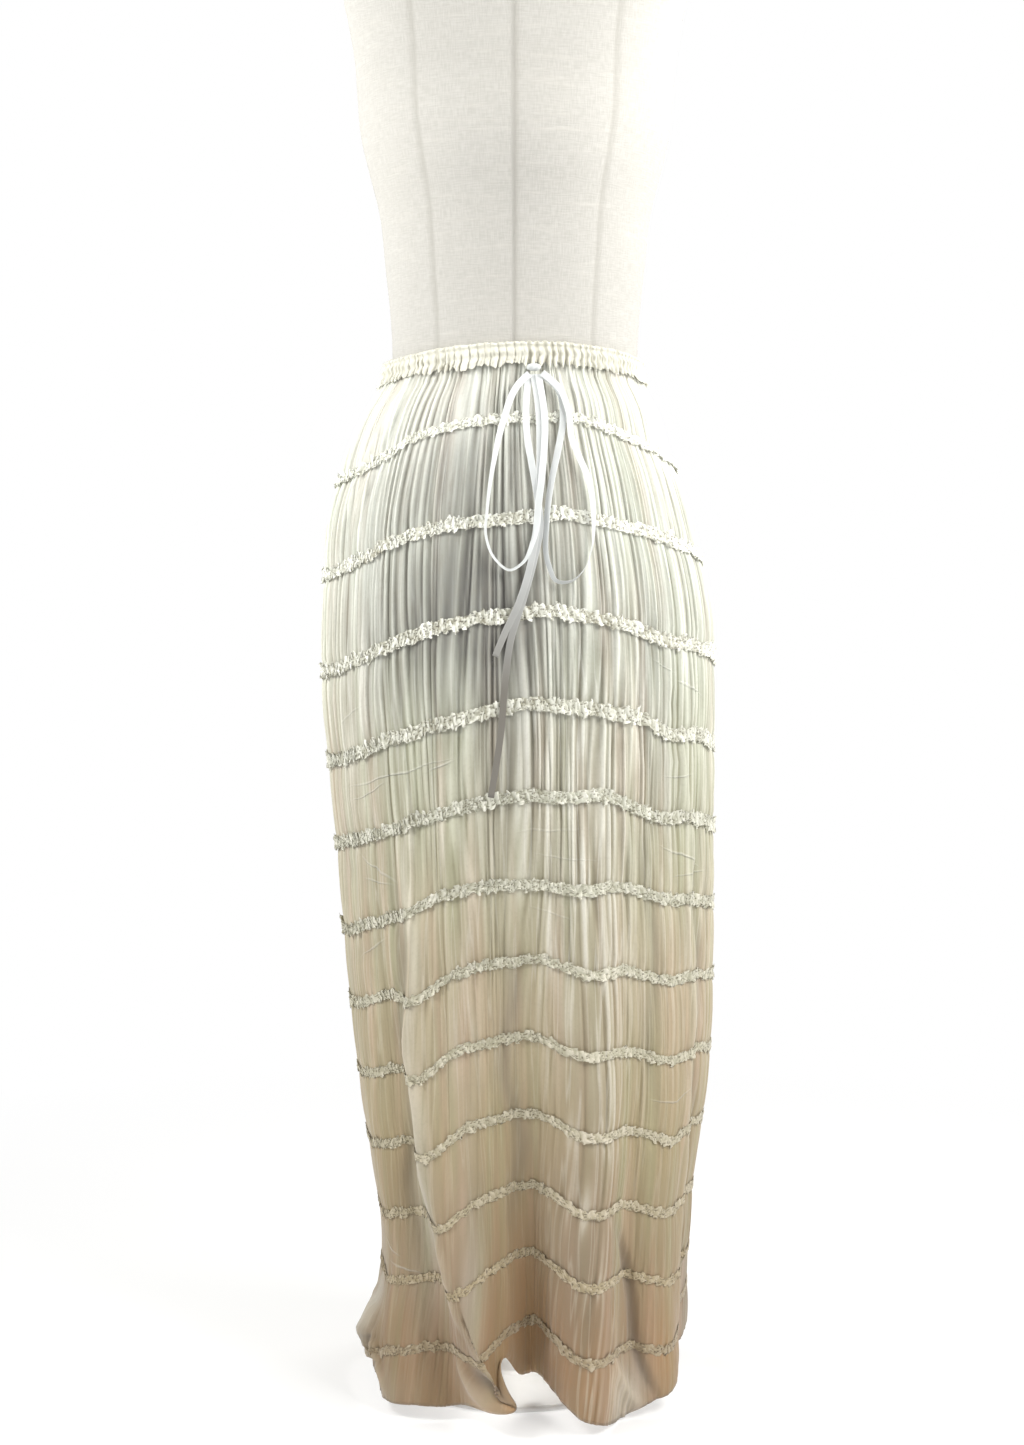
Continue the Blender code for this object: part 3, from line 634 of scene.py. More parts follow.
# --- The shape of the cloth ---------------------------------------------------------------------
@dataclass(frozen=True)
class Cloth:
    """The middle of the hanging cloth, and the fine pleats, creases and puffs that lie on it."""

    nudge: float = 1e-4  # a small step in radians or rows, for a slope
    girth: float = 1.1  # the way round the hips, which the flat cloth takes for every row
    pleats: int = 136  # round the whole body
    fine_pleats: float = 2.6  # to each pleat
    pleat_widths: Pair = (0.14, 0.38)  # in cells, as are the next two
    fine_widths: Pair = (0.16, 0.34)
    groove_widths: Pair = (0.1, 0.18)
    full_rows: Pair = (2.0, 6.5)  # none is missing above these, and some are below
    fullness: float = 0.55
    level: float = 0.34  # the ridge between two pleats
    fine_height: float = 0.42  # of the fine pleats, beside the main ones
    fine_over: float = 0.12  # how much of them lies over the main ones
    groove_depth: float = 0.5
    groove_hidden: float = 0.7
    pleat_rise: float = 0.0023
    pleat_rise_waist: float = 0.0017
    pleat_fall: float = 0.0013
    pleat_lean: float = 0.001
    fading_rows: tuple[float, ...] = (0, 3, 7, 10, 13)
    fading: tuple[float, ...] = (1.0, 0.95, 0.62, 0.42, 0.32)
    puff: float = 0.0012  # how far the cloth swells between two rows of lace
    pinch: float = 0.0007  # how far a row of lace draws it in
    pinch_rows: float = 0.1
    pinch_flattens: float = 0.35  # the share of a pleat that the pinch takes
    pucker: float = 0.0012  # the small gathers beside a row of lace
    pucker_rows: float = 0.22
    pucker_ridge: float = 0.5
    sway_rows: float = 0.55
    crease_waver: float = 0.8  # half widths that a crease wavers to each side
    crease_wavering: float = 40  # radians to the metre
    crease_fade: Pair = (-0.2, 0.25)  # about each end, in its lengths

    def row_height(self, angle: Array, row: Array) -> Array:
        """The height of a row: highest just right of the front, and level at the sides and back.

        Formula: the front height less a drop that grows with the square of the sine of the turn
        from the highest angle, and goes over from the left drop to the right one. Bell curves
        add the dip under the lump and the rows' own sways.

        Args:
            angle: in radians.
            row: rows.

        Returns:
            The heights on the garment.
        """
        front, left, right = (smooth(row, ROW_NUMBERS, [r[i] for r in ROWS]) for i in range(3))
        reach = (LUMP.dip_half_width, LUMP.dip_half_rows)
        front = front - LUMP.dip * near(angle, row, (LUMP.angle, LUMP.dip_row), reach)
        for sway in SWAYS:
            reach = (sway.half_width, self.sway_rows)
            front = front + sway.lift * near(angle, row, (sway.angle, sway.row), reach)
        turn = turn_from(angle, math.radians(HIGHEST_ANGLE))
        side = np.where(np.abs(turn) < math.pi / 2, np.sin(turn) ** 2, 1.0)
        leftness = 0.5 - 0.5 * np.sin(turn)
        return front - (left * leftness + right * (1 - leftness)) * side

    def folds_at(self, angle: Array, height: Array) -> tuple[Array, Array, Array]:
        """How far the large folds push the cloth out, sideways and up.

        Formula: each fold is a bell curve round its own angle, narrower on one side by its skew.
        Its angle and its push grow as powers of how far down the cloth is, the lean as the fourth
        power and the lift as the square, and the sag is greatest halfway down. The lump is one
        more bell.

        Args:
            angle: in radians.
            height: heights on the garment, of the same shape.

        Returns:
            The push outwards, sideways and up, in metres.
        """
        out, along, up = np.zeros_like(height), np.zeros_like(height), np.zeros_like(height)
        for fold in FOLDS:
            down = np.clip((fold.start - height) / fold.start, 0, 1)
            middle = fold.top_angle + (fold.hem_angle - fold.top_angle) * down**fold.bend
            turn = turn_from(angle, np.radians(middle))
            ridge = bell(turn, np.radians(fold.half_width * (1 - fold.skew * np.sign(turn))))
            out += fold.depth * down**fold.growth * ridge
            along += fold.lean * down**4 * ridge
            up += (fold.lift * down**2 + fold.sag * 4 * down * (1 - down)) * ridge
        reach = (LUMP.half_width, LUMP.half_height)
        out += LUMP.reach * near(angle, height, (LUMP.angle, LUMP.height), reach)
        return out, along, up

    def middle(self, angle: Array | float, row: Array | float) -> Array:
        """Points on the middle of the cloth, before its pleats.

        Formula: four quarter ellipses whose half widths follow the outline's smooth curves, moved
        along their own level normal and tangent by the large folds.

        Args:
            angle: in radians.
            row: rows.

        Returns:
            The points, in metres.
        """
        angle, row = np.broadcast_arrays(np.asarray(angle, float), np.asarray(row, float))
        height = self.row_height(angle, row)
        heights = [o.height for o in OUTLINE]
        left, right, front, back = (smooth(height, heights, [o[i] for o in OUTLINE]) for i in range(1, 5))
        half_width = np.where(np.sin(angle) < 0, left, right)
        depth = np.where(np.cos(angle) > 0, front, back)
        normal = np.stack([np.sin(angle) / half_width, -np.cos(angle) / depth])
        normal /= np.hypot(normal[0], normal[1])
        out, along, up = self.folds_at(angle, height)
        x = half_width * np.sin(angle) + out * normal[0] - along * normal[1]
        y = -depth * np.cos(angle) + out * normal[1] + along * normal[0]
        return np.stack([x, y, height + up + HANG], axis=-1)

    def tangent(self, angle: Array, row: Array | float) -> Array:
        """How the cloth runs round the body: its slope between two near angles, made level.

        Args:
            angle: in radians.
            row: rows.

        Returns:
            Level vectors, in metres for each radian.
        """
        step = self.middle(angle + self.nudge, row) - self.middle(angle - self.nudge, row)
        step[..., 2] = 0
        return step / (2 * self.nudge)

    def outward(self, angle: Array, row: Array | float) -> Array:
        """The level direction that points out of the cloth."""
        along = self.tangent(angle, row)
        return unit(np.stack([along[..., 1], -along[..., 0], np.zeros_like(along[..., 0])], axis=-1))

    def pleat_phase(self, angle: Array, row: Array) -> Array:
        """The count of pleats passed on the way round, uneven as crinkled cloth is.

        Formula: an even count, plus a closed irregular wave that crowds and spreads the pleats,
        plus a small drift down the cloth.

        Args:
            angle: in radians.
            row: rows.

        Returns:
            The count, which grows by one at each pleat.
        """
        even = self.pleats * angle / TWO_PI
        crowd = 0.6 * waves(angle, 3, (5, 24), 9) + 0.13 * waves(angle, 4, (30, 60), 9)
        drift = 0.7 * waves(angle, 5, (4, 14), 6) * np.sin(row * 0.9 + 2.2 * waves(angle, 6, (2, 7), 4))
        return even + crowd + drift

    def calm(self, angle: Array, row: Array) -> Array:
        """How much of the fine pleats is left where the cloth is calm or crisp.

        Args:
            angle: in radians.
            row: rows.

        Returns:
            A share: 1 in plain cloth, less where calm and more where crisp.
        """
        left = np.ones_like(row)
        for calm in CALMS:
            reach = (calm.half_width, calm.half_rows)
            left *= 1 - calm.share * near(angle, row, (calm.angle, calm.row), reach)
        return left

    def bloom(self, tone: Tone, angle: Array, row: Array) -> Array:
        """How strongly a tone of painted light or shade shows at each place.

        Args:
            tone: which tone.
            angle: in radians.
            row: rows.

        Returns:
            The strength, from 0 to 1.
        """
        total = np.zeros_like(row)
        for bloom in BLOOMS[tone]:
            reach = (bloom.half_width, bloom.half_rows)
            total += bloom.strength * near(angle, row, (bloom.angle, bloom.row), reach)
        return np.clip(total, 0, 1)

    def pleat(self, angle: Array, row: Array) -> tuple[Array, Array]:
        """The fine pleats: how far each point is pushed out, and how much of a ridge it is.

        Formula: uneven ridges, with finer ones between them and narrow grooves beside them. All
        of them fade in the calm places and stand out where the cloth is crisp.

        Args:
            angle: in radians.
            row: rows.

        Returns:
            The push in metres, and the ridge from 0 in a valley to about 1.
        """
        phase = self.pleat_phase(angle, row)
        upper = 1 - step_up(row, *self.full_rows)
        main = ridges_at(phase, row, 11, self.pleats, self.pleat_widths, self.fullness * upper)
        fine_phase = self.fine_pleats * phase + 0.3 * np.sin(row)
        fine = ridges_at(fine_phase, row * 1.7, 21, round(self.fine_pleats * self.pleats), self.fine_widths)
        groove = ridges_at(phase + 0.5, row * 1.1, 31, self.pleats, self.groove_widths, 0.2)
        raised = np.maximum(main, self.fine_height * fine) + self.fine_over * fine
        ridge = self.level + (1 - self.level) * raised
        ridge -= self.groove_depth * groove * (1 - self.groove_hidden * main)
        rise = np.interp(row, [0, 1.2], [self.pleat_rise_waist, self.pleat_rise])
        left = self.pleats_left(angle, row)
        push = ((rise + self.pleat_fall) * ridge - self.pleat_fall) * left
        return push, ridge * np.minimum(left + 0.08, 1)

    def pleats_left(self, angle: Array, row: Array) -> Array:
        """How much of the pleats' rise is left: they fade down the skirt and in the calm places."""
        return self.calm(angle, row) * np.interp(row, self.fading_rows, self.fading)

    def crease(self, angle: Array, row: Array) -> Array:
        """The listed creases.

        Formula: a bell curve across the straight line from one end to the other, on the cloth laid
        flat, which dies away softly at both ends and wavers a little along its length.

        Args:
            angle: in radians.
            row: rows.

        Returns:
            How far the creases push the cloth out, in metres.
        """
        flat_x, flat_z = self.laid_flat(angle, row)
        push = np.zeros_like(flat_x)
        for number, crease in enumerate(CREASES):
            x, z = self.ends_flat(crease)
            way = np.array([x[1] - x[0], z[1] - z[0]])
            length = np.hypot(*way)
            way /= length
            east = (flat_x - x[0] + self.girth / 2) % self.girth - self.girth / 2
            north = flat_z - z[0]
            along = east * way[0] + north * way[1]
            across = north * way[0] - east * way[1]
            waver = np.sin(along * self.crease_wavering + number * 1.7)
            across += crease.half_width * self.crease_waver * waver
            fade = step_up(along, *(share * length for share in self.crease_fade))
            fade = fade * step_up(length - along, *(share * length for share in self.crease_fade))
            push += crease.depth * bell(across, crease.half_width) * fade
        return push

    def laid_flat(self, angle: Array, row: Array) -> tuple[Array, Array]:
        """A place on the cloth laid flat, in metres across and up."""
        return angle * self.girth / TWO_PI, smooth(row, ROW_NUMBERS, [r.height for r in ROWS])

    def ends_flat(self, line: "Crease | Nick") -> tuple[Array, Array]:
        """The two ends of a line on the cloth laid flat, in metres across and up."""
        ends = np.radians([line.start_angle, line.end_angle])
        return self.laid_flat(ends, np.array([line.start_row, line.end_row]))

    def surface(self, angle: Array, row: Array) -> tuple[Array, Array]:
        """Points on the cloth's outer face, with its pleats, creases and puffs.

        Formula: the middle moved out along its level normal by the sum of the three, and sideways
        where a pleat leans. A row of lace draws the cloth in with puckers, and between rows it
        swells.

        Args:
            angle: in radians.
            row: rows of the same shape.

        Returns:
            The points, and how much of a ridge each is.
        """
        angle, row = np.broadcast_arrays(np.asarray(angle, float), np.asarray(row, float))
        push, ridge = self.pleat(angle, row)
        below_band = step_up(row, 0.4, 0.6)
        from_lace = np.abs(row - np.round(row)) * below_band
        drawn = bell(from_lace, self.pinch_rows) * (np.round(row) < HEM) * below_band
        swell = self.puff * np.sin(math.pi * np.clip(row % 1, 0, 1)) ** 0.8 * step_up(row, 0, 0.5)
        push = push * (1 - self.pinch_flattens * drawn) + swell - self.pinch * drawn + self.crease(angle, row)
        phase = self.pleat_phase(angle, row)
        by_lace = bell(from_lace, self.pucker_rows) * step_up(row, 0.3, 0.7)
        pucker = value_noise(3 * phase, np.round(row) * 3 + 2 * from_lace, 14, 3 * self.pleats) - 0.5
        push += self.pucker * pucker * by_lace
        ridge = ridge + self.pucker_ridge * pucker * by_lace
        lean = value_noise(np.floor(phase) + 0.5, row * 0.5, 12, self.pleats) - 0.5
        lean = self.pleat_lean * np.sin(TWO_PI * phase) * lean
        points = self.middle(angle, row) + self.outward(angle, row) * push[..., None]
        points = points + unit(self.tangent(angle, row)) * lean[..., None]
        return points, ridge

    def place_on_front(self, across: Array, height: Array) -> tuple[Array, Array]:
        """The angle and row of places on the front.

        Formula: twenty steps from a near guess, each the distance left over the cloth's slope.

        Args:
            across: how far to the right of the middle, in metres.
            height: how far above the floor.

        Returns:
            The angles in radians and the rows.
        """
        falling = [-(r.height + HANG) for r in ROWS]
        angle = np.arcsin(across / OUTLINE[0].left)
        row = np.interp(-height, falling, ROW_NUMBERS)
        for _ in range(20):
            point = self.middle(angle, row)
            fall = (self.middle(angle, row + self.nudge) - point)[..., 2] / self.nudge
            angle = angle + (across - point[..., 0]) / self.tangent(angle, row)[..., 0]
            row = row + (height - point[..., 2]) / fall
        return angle, row


CLOTH = Cloth()


# --- Shader maths -------------------------------------------------------------------------------
class Graph:
    """A material's node tree, with one method that makes every kind of node."""

    def __init__(self, material: Material) -> None:
        """Starts from an empty tree.

        Args:
            material: the material, or the world, that the tree belongs to.
        """
        material.use_nodes = True
        self.tree = material.node_tree
        self.tree.nodes.clear()

    def node(self, kind: str, settings: dict | None = None, values: dict | None = None) -> bpy.types.Node:
        """A new node.

        Args:
            kind: the node's type, without ShaderNode before it.
            settings: what is set on the node first. A ramp's stops go under "stops".
            values: a number, colour or Socket for each socket, by its name or identifier.

        Returns:
            The node.
        """
        made = self.tree.nodes.new("ShaderNode" + kind)
        for key, value in (settings or {}).items():
            if key == "stops":
                self._stops(made.color_ramp, value)
            else:
                setattr(made, key, value)
        for key, value in (values or {}).items():
            socket = next(s for s in made.inputs if s.enabled and key in (s.identifier, s.name))
            if isinstance(value, Socket):
                self.tree.links.new(value.link, socket)
            else:
                socket.default_value = value
        return made

    @staticmethod
    def _stops(ramp: bpy.types.ColorRamp, stops: Sequence[tuple[float, Colour]]) -> None:
        """Sets a ramp's stops.

        Args:
            ramp: the ramp.
            stops: the place and colour of each stop.
        """
        while len(ramp.elements) < len(stops):
            ramp.elements.new(1.0)
        for element, (place, colour) in zip(ramp.elements, stops):
            element.position = place
            element.color = (*colour, 1.0)

    def socket(
        self, kind: str, output: str | int, settings: dict | None = None, values: dict | None = None
    ) -> "Socket":
        """The output of that name or place of a new node, ready for arithmetic."""
        made = self.node(kind, settings, values)
        return Socket(self, made.outputs[output])

    def mix(self, share: "Socket | float", low: "Socket | Colour", high: "Socket | Colour") -> "Socket":
        """A colour between two colours.

        Args:
            share: how much of the second colour there is.
            low: the colour at a share of 0.
            high: the colour at a share of 1.

        Returns:
            The colour.
        """
        low = low if isinstance(low, Socket) else (*low, 1.0)
        high = high if isinstance(high, Socket) else (*high, 1.0)
        values = {"Factor_Float": share, "A_Color": low, "B_Color": high}
        return self.socket("Mix", 2, {"data_type": "RGBA"}, values)

    def height(self) -> "Socket":
        """The height above the floor, in metres."""
        place = self.socket("TexCoord", "Object")
        return self.socket("SeparateXYZ", "Z", values={"Vector": place})

    def noise(
        self, scale: float, detail: float = 3.0, stretch: Place = (1, 1, 1), on: "Socket | None" = None
    ) -> "Socket":
        """Soft noise from 0 to 1, on the object's own coordinates or on another map.

        Args:
            scale: how many grains to the metre.
            detail: how many finer layers lie over the first.
            stretch: below 1, the grain is longer along that axis.
            on: the map, if not the object's own coordinates.

        Returns:
            The noise.
        """
        place = on or self.socket("TexCoord", "Object")
        place = self.socket("Mapping", 0, values={"Vector": place, "Scale": stretch})
        values = {"Vector": place, "Scale": scale, "Detail": detail}
        return self.socket("TexNoise", 0, values=values)

    def streaks(self, scale: float, detail: float = 2.0, length: float = 1.0) -> "Socket":
        """Noise on the piece's own map, drawn out along the cloth where the length is below 1."""
        return self.noise(scale, detail, (1, length, 1), self.cloth_map())

    def lines(self, scale: float, length: float, level: float, fineness: float) -> "Socket":
        """Thin lines drawn out along the cloth, from 0 to 1: where streaks cross a level."""
        off = self.streaks(scale, 2.0, length) - level
        return (1 - (off * off) ** 0.5 * fineness).within(0.0, 1.0)

    def mark(self, name: str) -> "Socket":
        """A number that the mesh holds for each point."""
        return self.socket("Attribute", "Fac", {"attribute_name": name})

    def cloth_map(self) -> "Socket":
        """The piece's own map, in metres."""
        return self.socket("UVMap", 0, {"uv_map": CLOTH_MAP})

    def vector(self, operation: str, output: str, **values: "Socket | float") -> "Socket":
        """The result of a Vector Math node."""
        return self.socket("VectorMath", output, {"operation": operation}, values)

    def bump(self, height: "Socket", distance: float) -> "Socket":
        """A normal from a relief of that depth in metres."""
        return self.socket("Bump", 0, values={"Height": height, "Distance": distance})

    def shade(self, **values: "Socket | float | Colour") -> None:
        """Ends the tree in a Principled shader.

        Args:
            values: what goes into each of its sockets, named with underscores for spaces.
        """
        named = {key.replace("_", " "): value for key, value in values.items()}
        named = {key: (*value, 1.0) if isinstance(value, tuple) else value for key, value in named.items()}
        shader = self.node("BsdfPrincipled", values=named)
        self.node("OutputMaterial", values={"Surface": Socket(self, shader.outputs[0])})


class Socket:
    """A node's output, with arithmetic that adds Math nodes."""

    def __init__(self, graph: Graph, link: bpy.types.NodeSocket) -> None:
        """Wraps an output."""
        self.graph = graph
        self.link = link

    def math(
        self, operation: str, *others: "Socket | float", first: "Socket | float | None" = None
    ) -> "Socket":
        """A Math node on this socket and others, or with another value before it.

        Args:
            operation: the Math node's operation.
            others: the values after this one.
            first: a value that goes before this one.

        Returns:
            The result.
        """
        terms = [self, *others] if first is None else [first, self, *others]
        values = dict(zip(("Value", "Value_001", "Value_002"), terms))
        return self.graph.socket("Math", 0, {"operation": operation}, values)

    def __add__(self, other: "Socket | float") -> "Socket":
        """Sum."""
        return self.math("ADD", other)

    __radd__ = __add__

    def __mul__(self, other: "Socket | float") -> "Socket":
        """Product."""
        return self.math("MULTIPLY", other)

    __rmul__ = __mul__

    def __sub__(self, other: "Socket | float") -> "Socket":
        """Difference."""
        return self.math("SUBTRACT", other)

    def __rsub__(self, other: "Socket | float") -> "Socket":
        """Difference the other way round."""
        return self.math("SUBTRACT", first=other)

    def __pow__(self, other: "Socket | float") -> "Socket":
        """Power."""
        return self.math("POWER", other)

    def within(self, low: float, high: float) -> "Socket":
        """This value made to run from 0 at low to 1 at high, and held there."""
        values = {"Value": self, "From Min": low, "From Max": high}
        return self.graph.socket("MapRange", 0, {"clamp": True}, values)


# --- Finishes -----------------------------------------------------------------------------------
class Finish:
    """A finish with a name, which draws its own node tree."""

    name: str

    def material(self) -> Material:
        """The finish as a material.

        Returns:
            A new material of that name.
        """
        material = bpy.data.materials.new(self.name)
        self.draw(Graph(material))
        return material

    def draw(self, graph: Graph) -> None:
        """Draws the finish's nodes into an empty tree."""
        raise NotImplementedError


@dataclass(frozen=True)
class Toning:
    """How a cloth's colour runs from ivory at the waist to sand at the hem: painted shade, darker and warmer
    towards the hem.
    """

    top: float = 1.02  # the height where the share is 1
    # stops of the painted shade by height, from the hem up
    shade_stops: tuple[ShadeStop, ...] = (
        ShadeStop("rosewood", 0.07, (0.155, 0.08, 0.034)),
        ShadeStop("sand", 0.26, (0.38, 0.285, 0.15)),
        ShadeStop("oat", 0.48, (0.44, 0.4, 0.26)),
        ShadeStop("sage", 0.72, (0.41, 0.43, 0.33)),
        ShadeStop("ivory", 0.92, (0.84, 0.86, 0.77)),
    )

    def colour(self, graph: Graph, stray: float, above: float = 0.0) -> Socket:
        """The painted shade's colour at each height, or at a share above it.

        Args:
            graph: the finish's tree.
            stray: how far soft noise moves the colours up and down, as a share of the height.
            above: how far above its own height a place takes its colour from.

        Returns:
            The colour.
        """
        place = graph.height() * (1 / self.top) + (graph.noise(3.2) - 0.5) * stray + above
        stops = tuple((shade_stop.place, shade_stop.colour) for shade_stop in self.shade_stops)
        return graph.socket("ValToRGB", 0, {"stops": stops}, {"Fac": place})


class Stain(NamedTuple):
    """A faint tint in soft patches or streaks: their grain, where they show, and their share."""

    name: str
    scale: float
    detail: float
    stretch: Place
    on_cloth: bool  # follows the piece's own map, so that it runs with the pleats
    shows: Pair  # the noise at which it starts, and at which it is full
    share: float
    share_high: float  # what is added to the share at the waist
    colour: Colour


STAINS = (
    Stain("blush", 9.0, 3.0, (1, 1, 0.6), False, (0.45, 0.72), 0.24, 0.00, (0.62, 0.42, 0.33)),
    Stain("moss", 6.0, 2.0, (1.3, 1.3, 0.45), False, (0.5, 0.78), 0.2, 0.00, (0.5, 0.53, 0.34)),
    Stain("lilac", 16.0, 2.0, (1, 0.14, 1), True, (0.54, 0.74), 0.04, 0.26, (0.55, 0.56, 0.62)),
    Stain("rose", 61.0, 1.0, (1, 0.06, 1), True, (0.5, 0.7), 0.3, 0.00, (0.6, 0.36, 0.26)),
    Stain("green", 53.0, 1.0, (1, 0.05, 1), True, (0.52, 0.72), 0.28, 0.00, (0.34, 0.42, 0.22)),
)


@dataclass(frozen=True)
class VoileFinish(Finish):
    """Thin crinkled voile: sheer in its valleys, denser on its ridges, with a fine uneven weave, and painted
    light and shade on its gathers and towards its hem.
    """

    name: str = "ivory_voile"
    toning: Toning = Toning()
    roughness: float = 0.82
    sheen: float = 0.25
    valley_cover: float = 0.6
    ridge_cover: float = 0.95
    hem_cover: float = 0.46  # added at the hem
    doubled_cover: float = 0.15  # added where the cloth is double
    tinted: float = 0.0  # the share of the two tints, for a gathered casing
    tint: Colour = (0.72, 0.71, 0.62)
    # painted shade in the casing's gaps
    gap_shade: Colour = (0.3, 0.28, 0.21)
    # painted warm shade (deep) and painted highlight (pale)
    deep: Colour = (0.43, 0.222, 0.084)
    pale: Colour = (0.62, 0.6, 0.54)
    shade: Colour = (0.145, 0.142, 0.135)
    form_shade: Colour = (0.28, 0.275, 0.26)
    # painted shade in the valleys, at the hem and at the waist
    low_valley_shade: Colour = (0.34, 0.29, 0.175)
    high_valley_shade: Colour = (0.46, 0.43, 0.32)
    # painted highlight on the ridges, at the hem and at the waist
    low_highlight: Colour = (0.7, 0.61, 0.47)
    high_highlight: Colour = (0.96, 0.98, 0.9)
    # thin lines of painted shade
    line_shade: Colour = (0.25, 0.215, 0.15)
    dark_speck: Colour = (0.27, 0.24, 0.17)
    dark_crinkle: Colour = (0.3, 0.26, 0.18)
    nick_highlight: Colour = (0.93, 0.93, 0.86)
    line_fineness: float = 26.0
    crinkle: float = 5.0  # times as deep as the weave
    nick_rise: float = 10.0
    threads: float = 2600.0  # to the metre
    weave_depth: float = 0.00012

    def draw(self, graph: Graph) -> None:
        """Draws the finish's nodes.

        Args:
            graph: the finish's tree.
        """
        ridge = graph.mark("ridge").within(0.05, 0.85)
        high = graph.height().within(0.1, 0.8)
        base = self.stained(graph, high)
        base = self.lit(graph, base, ridge, high)
        slub = graph.streaks(900.0, 2.0, 0.12)
        threads = graph.streaks(self.threads, 1.0)
        speckle = graph.streaks(420.0, 2.0, 0.7)
        base = graph.mix((speckle - 0.5).within(0.0, 0.3) * 0.16, base, self.dark_speck)
        cover = ridge * (self.ridge_cover - self.valley_cover) + self.valley_cover
        low = 1 - graph.height().within(0.12, 0.84)
        cover = cover + low * self.hem_cover + (threads - 0.5) * 0.16
        cover = cover + graph.mark("doubled") * self.doubled_cover
        crinkle = graph.streaks(170.0, 3.0, 0.32)
        base = graph.mix(crinkle.within(0.4, 0.75) * 0.12, base, self.dark_crinkle)
        nick = self.nicks(graph)
        # painted highlight along the fine wrinkles
        base = graph.mix(nick * 0.32, base, self.nick_highlight)
        relief = slub * 0.7 + threads * 0.5 + crinkle * self.crinkle + nick * self.nick_rise
        graph.shade(
            Base_Color=base,
            Roughness=self.roughness + (slub - 0.5) * 0.12,
            Alpha=cover.within(0.0, 1.0),
            Sheen_Weight=self.sheen,
            Sheen_Roughness=0.5,
            Specular_IOR_Level=0.25,
            Normal=graph.bump(relief, self.weave_depth),
        )

    def stained(self, graph: Graph, high: Socket) -> Socket:
        """The painted shade by height with the faint stains over it, then the painted warm shade and painted
        highlight of the marked places.

        Args:
            graph: the finish's tree.
            high: 0 at the hem, 1 at the waist.

        Returns:
            The colour.
        """
        base = self.toning.colour(graph, 0.16)
        for stain in STAINS:
            grain = (stain.scale, stain.detail, stain.stretch)
            patch = graph.noise(*grain, graph.cloth_map() if stain.on_cloth else None).within(*stain.shows)
            share = high * stain.share_high + stain.share if stain.share_high else stain.share
            base = graph.mix(patch * share, base, stain.colour)
        # painted warm shade where the mark deep is set, and painted highlight where pale is set
        base = graph.mix(graph.mark("deep"), base, self.deep)
        return graph.mix(graph.mark("pale"), base, self.pale)

    def lit(self, graph: Graph, base: Socket, ridge: Socket, high: Socket) -> Socket:
        """Painted light and shade on the gathers: painted shade in the valleys, painted highlight on the
        ridges, and thin painted lines of both.

        Formula: one tint over another, each by its own share of the ridge, the form's closeness
        and the mesh's marks.

        Args:
            graph: the finish's tree.
            base: the colour so far.
            ridge: 0 in a valley, 1 on a ridge.
            high: 0 at the hem, 1 at the waist.

        Returns:
            The colour.
        """
        close = graph.mark("close")
        # painted shade of the form, stronger where the cloth lies close to it
        base = graph.mix((1 - ridge * 0.55) * close * 0.5, base, self.form_shade)
        # painted shade in the valleys
        valley = graph.mix(high, self.low_valley_shade, self.high_valley_shade)
        base = graph.mix((1 - ridge) ** 2.0 * 0.34, base, valley)
        # painted highlight on the ridges, and more on the crisp ones
        light = graph.mix(high, self.low_highlight, self.high_highlight)
        base = graph.mix(ridge * (high * 0.44 + 0.12) * (1 - close * 0.4), base, light)
        base = graph.mix(ridge**4.0 * graph.mark("crisp") * 0.8, base, light)
        # thin lines of painted shade, darker where the form is close, and thin painted highlights
        line = graph.lines(150.0, 0.045, 0.5, self.line_fineness)
        base = graph.mix(line * (close * 0.18 + 0.09), base, self.line_shade)
        glint = graph.lines(120.0, 0.035, 0.56, self.line_fineness)
        base = graph.mix(glint * (high * 0.3 + graph.mark("crisp") * 0.4 + 0.08), base, light)
        # painted shade at the marked places and in the creases' troughs, and painted highlight on their
        # crests
        base = graph.mix(graph.mark("shade") * (1 - ridge * 0.35), base, self.shade)
        base = graph.mix(graph.mark("trough") * 0.42, base, self.shade)
        base = graph.mix(graph.mark("crest") * 0.34, base, light)
        # the casing's own tint
        base = graph.mix(self.tinted, base, self.tint)
        # painted shade in the gaps between the casing's gathers
        return graph.mix((1 - ridge) ** 1.5 * self.tinted * 0.75, base, self.gap_shade)

    def nicks(self, graph: Graph) -> Socket:
        """The fine wrinkles, from 0 to 1, for their relief and their painted highlight.

        Formula: each is a thin long ellipse on the cloth's map, highest in its middle, and soft
        noise moves the map a little so that the ellipse wavers.

        Args:
            graph: the finish's tree.

        Returns:
            How much of a wrinkle each place is.
        """
        waver, reach = 26.0, 0.012  # wavers to the metre, and how far they move the map
        values = {"Vector": graph.cloth_map(), "Scale": waver}
        moved = graph.socket("TexNoise", "Color", values=values)
        moved = graph.vector("SCALE", "Vector", Vector=moved, Scale=reach)
        flat = graph.vector("ADD", "Vector", Vector=graph.cloth_map(), Vector_001=moved)
        heights = []
        for nick in NICKS:
            across, up = CLOTH.ends_flat(nick)
            run, rise = across[1] - across[0], up[1] - up[0]
            values = {
                "Vector": flat,
                "Location": (float(across.mean()) + reach / 2, float(up.mean()) + reach / 2, 0),
                "Rotation": (0, 0, math.atan2(rise, run)),
                "Scale": (0.6 * math.hypot(rise, run), nick.half_width, 1),
            }
            place = graph.socket("Mapping", 0, {"vector_type": "TEXTURE"}, values)
            far = graph.vector("LENGTH", "Value", Vector=place)
            heights.append((1 - far).within(0.0, 1.0) * nick.strength)
        return sum(heights[1:], heights[0])


